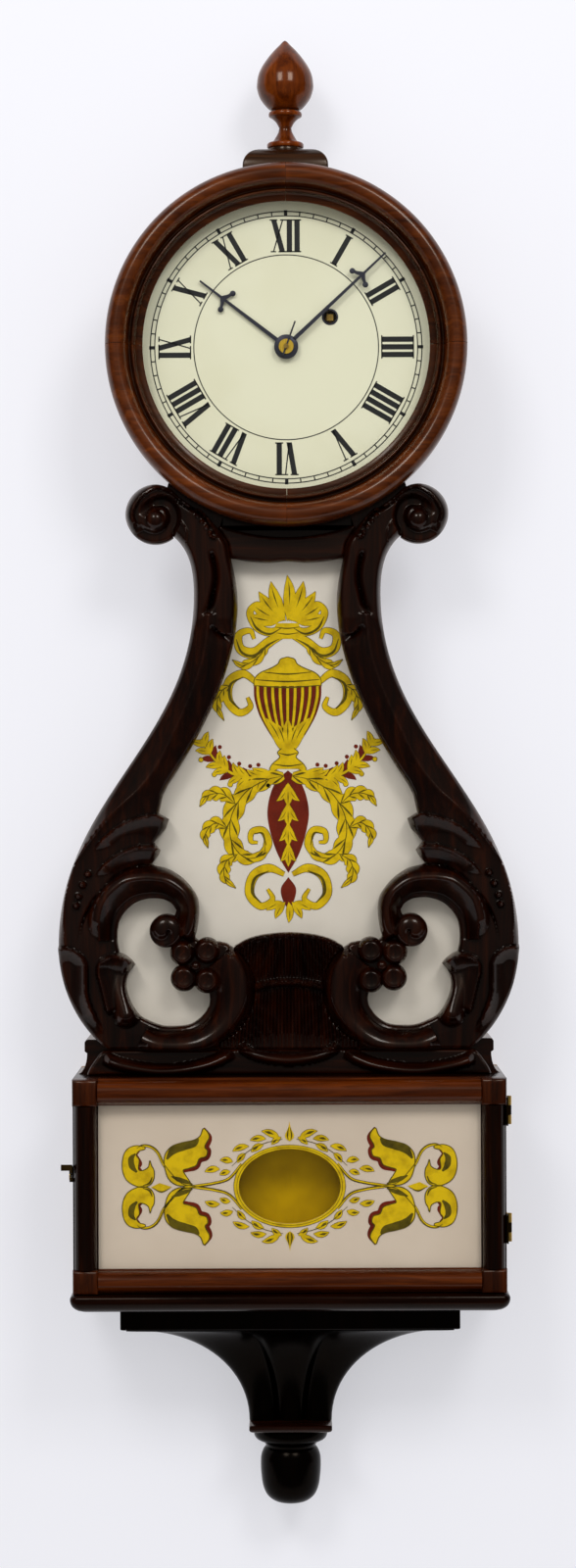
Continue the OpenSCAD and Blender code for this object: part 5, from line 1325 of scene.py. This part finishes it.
def draw_urn(art):
    """Fluted urn with a domed lid, scrolled handles and a cup of leaves."""
    body = smooth(URN_BODY, 6)
    art.shape("maroon", body + mirrored(body), False)
    for k in range(5):
        x = 5.4 * k
        art.stroke("gold", [(x, -242), (x * 0.98, -252), (x * 0.8, -266), (x * 0.46, -280), (x * 0.22, -289)],
                   [1.8, 2.0, 1.8, 1.3, 0.8], k > 0)
    for points in (URN_CAP, URN_FOOT):
        half = smooth(points, 5)
        art.shape("gold", half + mirrored(half), False)
        art.stroke("olive", points, [0.6, 0.7, 0.6])
    for z, w in ((-233, 17), (-238.4, 23), (-242.6, 24), (-291.4, 6.5), (-299.4, 10.6)):
        art.stroke("olive", [(-w, z), (0, z - 1.4), (w, z)], [0.5, 1.2, 0.5], False)
    for x, z, w in ((16, -266, 8.0), (8.5, -270, 8.0)):
        art.leaf((x * 0.2, -292), (x, z), 0.1, w)
    art.leaf((0, -292), (0, -266), 0.0, 8.0, True, False)
    handle = [(22, -241), (32, -234), (42, -240), (43, -253), (35, -262), (27, -258), (29, -251)]
    art.stroke("gold", handle, [3.0, 5.4, 6.6, 6.4, 5.2, 3.8, 2.0])
    art.stroke("olive", [(32, -236.4), (41, -241.6), (41.4, -252), (35, -259.6)], [0.5, 2.0, 2.2, 0.6])
    art.acanthus([(41, -242), (48, -247), (51, -257), (46, -268)], 9.0, 5)


LAUREL_PAIRS, LAUREL_SPLAY, LAUREL_REACH, LAUREL_W = 11, 0.75, 13.5, 4.8
BERRY_R, BERRY_TURN = 1.5, 1.5


def draw_sprays(art):
    """Laurel sprays with berries that spread to both sides of the urn's foot."""
    stem = [(8, -302), (22, -309), (38, -307), (52, -297), (63, -281)]
    line = smooth(stem, 12)
    art.stroke("gold", stem, [2.0, 2.2, 1.8, 1.4, 0.7])
    for k in range(LAUREL_PAIRS):
        i = int((k + 1) / (LAUREL_PAIRS + 1) * (len(line) - 1))
        (x, z), (x1, z1) = line[i], line[min(i + 1, len(line) - 1)]
        heading = math.atan2(z1 - z, x1 - x)
        for hand in (-1, 1):
            a = heading + hand * LAUREL_SPLAY
            reach = LAUREL_REACH - 0.25 * k
            tip = (x + reach * math.cos(a), z + reach * math.sin(a))
            red = k % 3 == 2
            art.leaf((x, z), tip, -0.14 * hand, LAUREL_W, not red, True, "maroon" if red else "gold")
        if k % 2 == 1:
            for layer, reach, turn in (("maroon", 8.5, BERRY_TURN), ("gold", 8.0, -BERRY_TURN)):
                a = heading + turn
                art.disc(layer, (x + reach * math.cos(a), z + reach * math.sin(a)), BERRY_R)


def draw_leaf_scrolls(art):
    """Broad acanthus scrolls round a maroon field with hanging bellflowers."""
    field = smooth([(0, -304), (8, -311), (13, -322), (15, -336), (12, -352), (7, -366), (0, -378)], 6)
    art.shape("maroon", field[1:-1] + mirrored(field), False)
    for points, width, lobes in (
            ([(37, -329), (47, -321), (58, -322), (64, -330)], 11.0, 5),
            ([(43, -346), (53, -342), (60, -350), (58, -360)], 10.0, 5),
            ([(36, -364), (45, -370), (46, -381), (38, -389)], 10.0, 5),
            ([(3, -308), (16, -311), (31, -320), (41, -337), (41, -355), (31, -367), (18, -364), (17, -353)],
             15.0, 9)):
        art.acanthus(points, width, lobes)
    inner = [(20, -366), (14.5, -357), (18, -347.5), (26, -348), (27, -355), (22, -356)]
    art.stroke("gold", inner, [5.0, 5.4, 4.8, 4.0, 3.0, 1.6])
    art.stroke("olive", [(16, -358), (18.6, -349.4), (25, -349.8)], [0.4, 1.4, 0.4])
    for k in range(4):
        z = -313 - 14.5 * k
        art.leaf((0, z), (0, z - 17), 0.0, 7.0 - 0.5 * k, True, False)
        art.leaf((1.0, z - 1), (8.4 - 0.9 * k, z - 13), -0.2, 4.6)


def draw_pendant(art):
    """Small volutes, a bud and a tuft of leaves under the scrolls."""
    low = [(3, -379), (14, -374.5), (25, -380), (28, -393), (20, -402), (11.5, -397), (15, -389.5)]
    art.stroke("gold", low, [3.0, 5.8, 6.6, 6.2, 5.0, 3.6, 1.8])
    art.stroke("olive", [(14, -376.4), (24, -381.6), (26, -392), (20, -399.6)], [0.5, 2.0, 2.4, 0.6])
    bud = smooth([(0, -381), (5.4, -389), (4.0, -398), (0, -405)], 5)
    art.shape("maroon", bud[1:-1] + mirrored(bud), False)
    for x, z in ((16, -405), (9.5, -411), (0, -414)):
        art.leaf((x * 0.25, -399), (x, z), 0.08, 5.4, True, x > 0)


OVAL = (0.0, -599.8)
OVAL_X, OVAL_Z = 36.2, 26.6
RING_X, RING_Z, LINE_W = 39.6, 29.2, 0.35
BOX_PAINT_HW, BOX_PAINT_TOP, BOX_PAINT_LOW = 140.2, -537.2, -661.6
BOX_PAINT = (BOX_GLASS_BACK - 0.9, BOX_GLASS_BACK - 0.5)


def box_edge(rim):
    """Points of the painted rectangle straight out from those of the oval, with its four corners."""
    hw, top, low = BOX_PAINT_HW, BOX_PAINT_TOP, BOX_PAINT_LOW
    edge = []
    for x, z in rim:
        dx, dz = x - OVAL[0], z - OVAL[1]
        reach_x = hw / max(abs(dx), 1e-9)
        reach_z = (top - OVAL[1] if dz > 0 else OVAL[1] - low) / max(abs(dz), 1e-9)
        s = min(reach_x, reach_z)
        edge.append((OVAL[0] + dx * s, OVAL[1] + dz * s))
    for corner in ((hw, top), (-hw, top), (-hw, low), (hw, low)):
        nearest = int(np.argmin([math.dist(p, corner) for p in edge]))
        edge[nearest] = corner
    return edge


def paint_box():
    rim = ellipse(*OVAL, OVAL_X, OVAL_Z)
    shell = Shell()
    shell.ring_strip(box_edge(rim), rim, *BOX_PAINT)
    place(shell.build("box_paint", box_white, 30), "box_door", "painted_glass")
    art = Tablet(BOX_GLASS_BACK)
    draw_box_ornament(art)
    art.build("box_ornament", "box_door")


HALF_LEAF = [(69.5, 1.1), (79.0, 0.8), (85.5, 4.8), (88.4, 11.7), (89.2, 18.6), (87.8, 24.4), (83.2, 29.0),
             (76.3, 31.3), (68.2, 33.1), (63.6, 36.0), (61.3, 41.2), (58.4, 38.9), (57.2, 34.8), (60.3, 28.5),
             (58.4, 25.6), (59.5, 21.5), (64.2, 19.8), (66.5, 15.2), (71.7, 13.1), (75.7, 11.7), (74.0, 8.2),
             (71.7, 4.8)]
LEAF_RIM = [(60.9, 41.7), (56.9, 35.0), (59.6, 28.6), (57.9, 25.2), (59.2, 20.9), (64.0, 19.0), (66.4, 14.4),
            (71.9, 12.3), (75.6, 10.6)]
LEAF_SHADE = [(87.4, 19.5), (83.0, 25.6), (76.0, 28.6), (68.0, 30.6), (64.6, 34.0)]
CURL = [(102.9, 28.5), (109.8, 29.3), (115.6, 26.7), (118.5, 20.9), (119.0, 12.9), (116.7, 5.9), (112.1, 1.9),
        (105.2, -0.3), (99.4, 1.3), (96.5, 5.9), (96.5, 11.7), (98.2, 15.2), (99.4, 18.6), (100.6, 14.0),
        (104.6, 11.7), (107.5, 12.6), (107.0, 19.0), (109.0, 22.5), (107.2, 25.4), (103.0, 26.8)]
CURL_RIM = [(106.8, 25.6), (109.4, 22.4), (106.6, 16.9), (107.8, 14.0), (105.2, 11.4)]
CURL_SHADE = [(109.6, 23.6), (112.6, 20.0), (112.0, 14.6), (108.6, 10.4)]
STEM = [(34.0, 16.0), (43.0, 5.8), (53.5, 2.4), (65.0, 0.6), (76.3, -1.6), (83.2, -8.0), (89.6, -16.0),
        (93.6, -24.1), (98.2, -28.2), (104.0, -29.3), (108.6, -27.0)]
SPRAY = [((49.7, 12.3), (60.3, 10.5), 4.6), ((42.2, 10.5), (49.7, 8.2), 4.0),
         ((40.5, 17.5), (49.5, 18.6), 4.4), ((31.2, 23.3), (37.0, 16.9), 4.2),
         ((28.9, 28.5), (40.5, 25.0), 4.4), ((18.5, 29.6), (27.2, 24.4), 4.6),
         ((16.8, 33.7), (28.0, 32.7), 4.4), ((7.0, 33.7), (19.9, 39.2), 5.0),
         ((5.8, 34.8), (12.7, 29.6), 4.0)]


def draw_box_ornament(art):
    """Oval ring with laurel sprays, half-leaves and curled stems on each side."""
    cz = OVAL[1]
    rim = ellipse(*OVAL, OVAL_X, OVAL_Z)
    art.ring("gold", ellipse(*OVAL, RING_X, RING_Z), rim)
    for rx, rz in ((RING_X, RING_Z), (37.4, 27.6)):
        art.ring("olive", ellipse(*OVAL, rx + LINE_W, rz + LINE_W), ellipse(*OVAL, rx, rz))
    for sz in (1, -1):
        def side(points):
            return [(x, cz + sz * z) for x, z in points]

        art.stroke("gold", side(STEM), [1.2, 1.4, 1.6, 1.5, 1.4, 1.2])
        art.stroke("olive", side([(x, z - 0.5) for x, z in STEM]), [0.4, 0.5, 0.6, 0.6, 0.4])
        art.shape("gold", smooth(side(HALF_LEAF + HALF_LEAF[:1]), 4)[:-1])
        art.stroke("olive", side(HALF_LEAF + HALF_LEAF[:1]), [0.7, 0.8, 0.7])
        art.stroke("maroon", side(LEAF_RIM), [1.4, 4.8, 4.4, 4.4, 4.4, 1.4])
        art.stroke("olive", side(LEAF_SHADE), [1.4, 5.6, 6.2, 4.8, 1.2])
        art.stroke("olive", side([(69.0, 1.6), (73.5, 3.4), (79.0, 5.2), (84.0, 7.4)]), [0.6, 3.0, 3.4, 0.8])
        art.shape("gold", smooth(side(CURL + CURL[:1]), 4)[:-1])
        art.stroke("olive", side(CURL + CURL[:1]), [0.6, 0.7, 0.6])
        art.stroke("maroon", side(CURL_RIM), [1.0, 3.4, 3.4, 1.2])
        art.stroke("olive", side(CURL_SHADE), [1.0, 4.2, 4.4, 1.4])
        art.stroke("olive", side([(104.5, 0.9), (99.8, 2.6), (97.8, 7.0)]), [0.5, 1.6, 0.5])
        for base, tip, width in SPRAY:
            (base,), (tip,) = side([base]), side([tip])
            art.leaf(base, tip, 0.12 * sz, width, heart=0.42)
        twig = [(5.0, 33.6), (18.0, 30.6), (30.0, 24.6), (41.0, 14.6)]
        art.stroke("olive", side(twig), [0.3, 0.5, 0.5, 0.3])
        bud = side([(0.0, 31.9), (2.6, 34.0), (3.2, 36.6), (1.6, 40.0), (0.5, 43.0), (0.0, 46.3)])
        art.shape("gold", smooth(bud, 4) + mirrored(smooth(bud, 4))[1:-1], False)
        art.stroke("olive", side([(0.9, 33.0), (1.5, 36.5), (0.5, 42.0)]), [0.4, 1.2, 0.3])
    art.shape("gold", [(83.8, cz - 0.1), (92.5, cz + 2.7), (98.8, cz - 0.4), (91.3, cz - 4.2)])
    art.stroke("olive", [(85, cz - 1.0), (91.3, cz - 3.6), (97.5, cz - 0.8)], [0.3, 1.2, 0.3])


# CAD nodes that stay get their materials
NODE_MATERIALS = {
    mahogany_x: ["head_drum"],
    base_wood: ["box_top", "box_sides"],
    pine: ["backboard", "glass_cleats", "baffle"],
    brass: ["hanger_plate", "brass_screws", "front_plate", "back_plate", "plate_pillars", "suspension_bridge",
            "case_hinge_leaves", "bezel_hinge_leaf", "centre_wheel",
            "hour_wheel", "minute_wheel", "great_wheel", "winding_barrel", "third_wheel", "escape_wheel",
            "pendulum_rod", "rating_nut", "weight_pulley"],
    dark_brass: ["door_hinge_leaves", "latch_pin", "latch_hook"],
    bright_brass: ["hand_collet"],
    steel: ["movement_posts", "cannon_pinion", "click", "verge"],
    blued: ["taper_pin"],
    iron: ["weight"],
    dial_paint: ["dial"],
    glass: ["bezel_glass", "throat_glass", "box_glass"],
}


def dress_nodes():
    for material, names in NODE_MATERIALS.items():
        for name in names:
            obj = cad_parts[name]
            for slot in obj.material_slots:
                slot.material = material


def hang_line():
    """Driving line: a copy of the CAD line in gut, riding on the case."""
    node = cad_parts["weight_line"]
    mesh = node.data.copy()
    mesh.materials.clear()
    mesh.materials.append(line_gut)
    line = add_object("driving_line", mesh)
    line.matrix_world = node.matrix_world
    place(line, "case", "line", "weight_line")
    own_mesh(line)


# Stage, light and camera, in metres
STAGE_HW, WALL_Y, WALL_TOP = 4, 0.002, 2.5
FLOOR_Z, FLOOR_FRONT, FLOOR_BACK = -1.3, -0.6, 0.3
SKY_HIGH, SKY_LOW, SKY_BACK, MIRROR_SHARE = 0.88, 0.17, 0.6, 0.22
SKY_HEIGHT = 30.0
LAMP_X, LAMP_Y, LAMP_Z, LAMP_SIZE, LAMP_POWER = 0.95, -2.4, 1.3, 0.8, 23.0
LAMP_TARGET = Vector((0, 0, -0.45))
SENSOR_WIDTH, LENS = 36.0, 77.4
CAMERA_AT, CAMERA_ROLL = (0.0, -2.5, -0.3978), 0.24


def make_stage():
    """Wall and floor: bright to the camera and to mirrors, open to other light and from behind."""
    material, tree, bsdf = new_material("pale_wall")
    path = add_node(tree, "LightPath").outputs
    seen = either(tree, path["Is Camera Ray"], path["Is Glossy Ray"], path["Is Transmission Ray"])
    set_inputs(tree, bsdf, {"Base Color": srgb(182, 182, 187), "Roughness": 0.9,
                            "Emission Color": srgb(175, 175, 179), "Emission Strength": seen})
    clear = add_node(tree, "BsdfTransparent")
    face = add_node(tree, "NewGeometry")
    open_to = either(tree, face.outputs["Backfacing"], path["Is Diffuse Ray"], path["Is Shadow Ray"])
    blend_surface(tree, open_to, bsdf.outputs["BSDF"], clear.outputs["BSDF"])
    wall = ((WALL_Y, FLOOR_Z), (WALL_Y, WALL_TOP))
    floor = ((FLOOR_FRONT, FLOOR_Z), (FLOOR_BACK, FLOOR_Z))
    for name, (near, far) in (("wall", wall), ("floor", floor)):
        mesh = bpy.data.meshes.new(name)
        corners = [(-STAGE_HW, *near), (STAGE_HW, *near), (STAGE_HW, *far), (-STAGE_HW, *far)]
        mesh.from_pydata(corners, [], [(0, 1, 2, 3)])
        mesh.materials.append(material)
        obj = add_object(name, mesh)


def make_world():
    """Soft light, brightest from the front and above; the camera itself sees a pale plain background."""
    world = bpy.data.worlds.new("studio")
    world.use_nodes = True
    tree = world.node_tree
    turned = mapped(tree, "Generated", {"Rotation": (math.radians(SKY_HEIGHT - 90), 0, 0)})
    front = add_node(tree, "SeparateXYZ", {"Vector": turned}).outputs["Z"]
    behind = add_node(tree, "SeparateXYZ", {"Vector": mapped(tree, "Generated", {})}).outputs["Y"]
    sky = mix(tree, "ADD", 1.0, ramp(tree, front, (0.0, grey(SKY_LOW)), (0.95, grey(SKY_HIGH))),
              ramp(tree, behind, (0.0, grey(0.0)), (0.9, grey(SKY_BACK))))
    path = add_node(tree, "LightPath").outputs
    dimmer = mix(tree, "MULTIPLY", path["Is Glossy Ray"], sky, grey(MIRROR_SHARE))
    seen = mix(tree, "MIX", path["Is Camera Ray"], dimmer, srgb(238, 238, 242))
    tree.links.new(seen, tree.nodes["Background"].inputs["Color"])
    bpy.context.scene.world = world


def make_light():
    make_world()
    for name, side in (("left_box", -1), ("right_box", 1)):
        light = bpy.data.lights.new(name, "AREA")
        light.shape = "RECTANGLE"
        light.size = light.size_y = LAMP_SIZE
        light.energy = LAMP_POWER
        obj = add_object(name, light)
        obj.location = (side * LAMP_X, LAMP_Y, LAMP_Z)
        obj.rotation_euler = (LAMP_TARGET - obj.location).to_track_quat("-Z", "Y").to_euler()


def make_camera():
    camera = bpy.data.cameras.new("photo_camera")
    camera.sensor_width = SENSOR_WIDTH
    camera.lens = LENS
    obj = add_object("photo_camera", camera)
    obj.location = CAMERA_AT
    obj.rotation_euler = (math.radians(90), math.radians(CAMERA_ROLL), 0)
    bpy.context.scene.camera = obj


make_camera()
make_stage()
make_light()
bpy.context.scene.view_settings.view_transform = "Standard"
carve_arms()
carve_rail()
carve_fan()
carve_foot()
throat_walls()
turn_bezel()
turn_finial()
shape_finial_block()
turn_drop()
turn_bob()
shape_base()
shape_plinth()
shape_door()
shape_bracket()
print_dial()
make_hand(HOUR_HAND)
make_hand(MINUTE_HAND)
paint_throat()
paint_box()
dress_nodes()
hang_line()
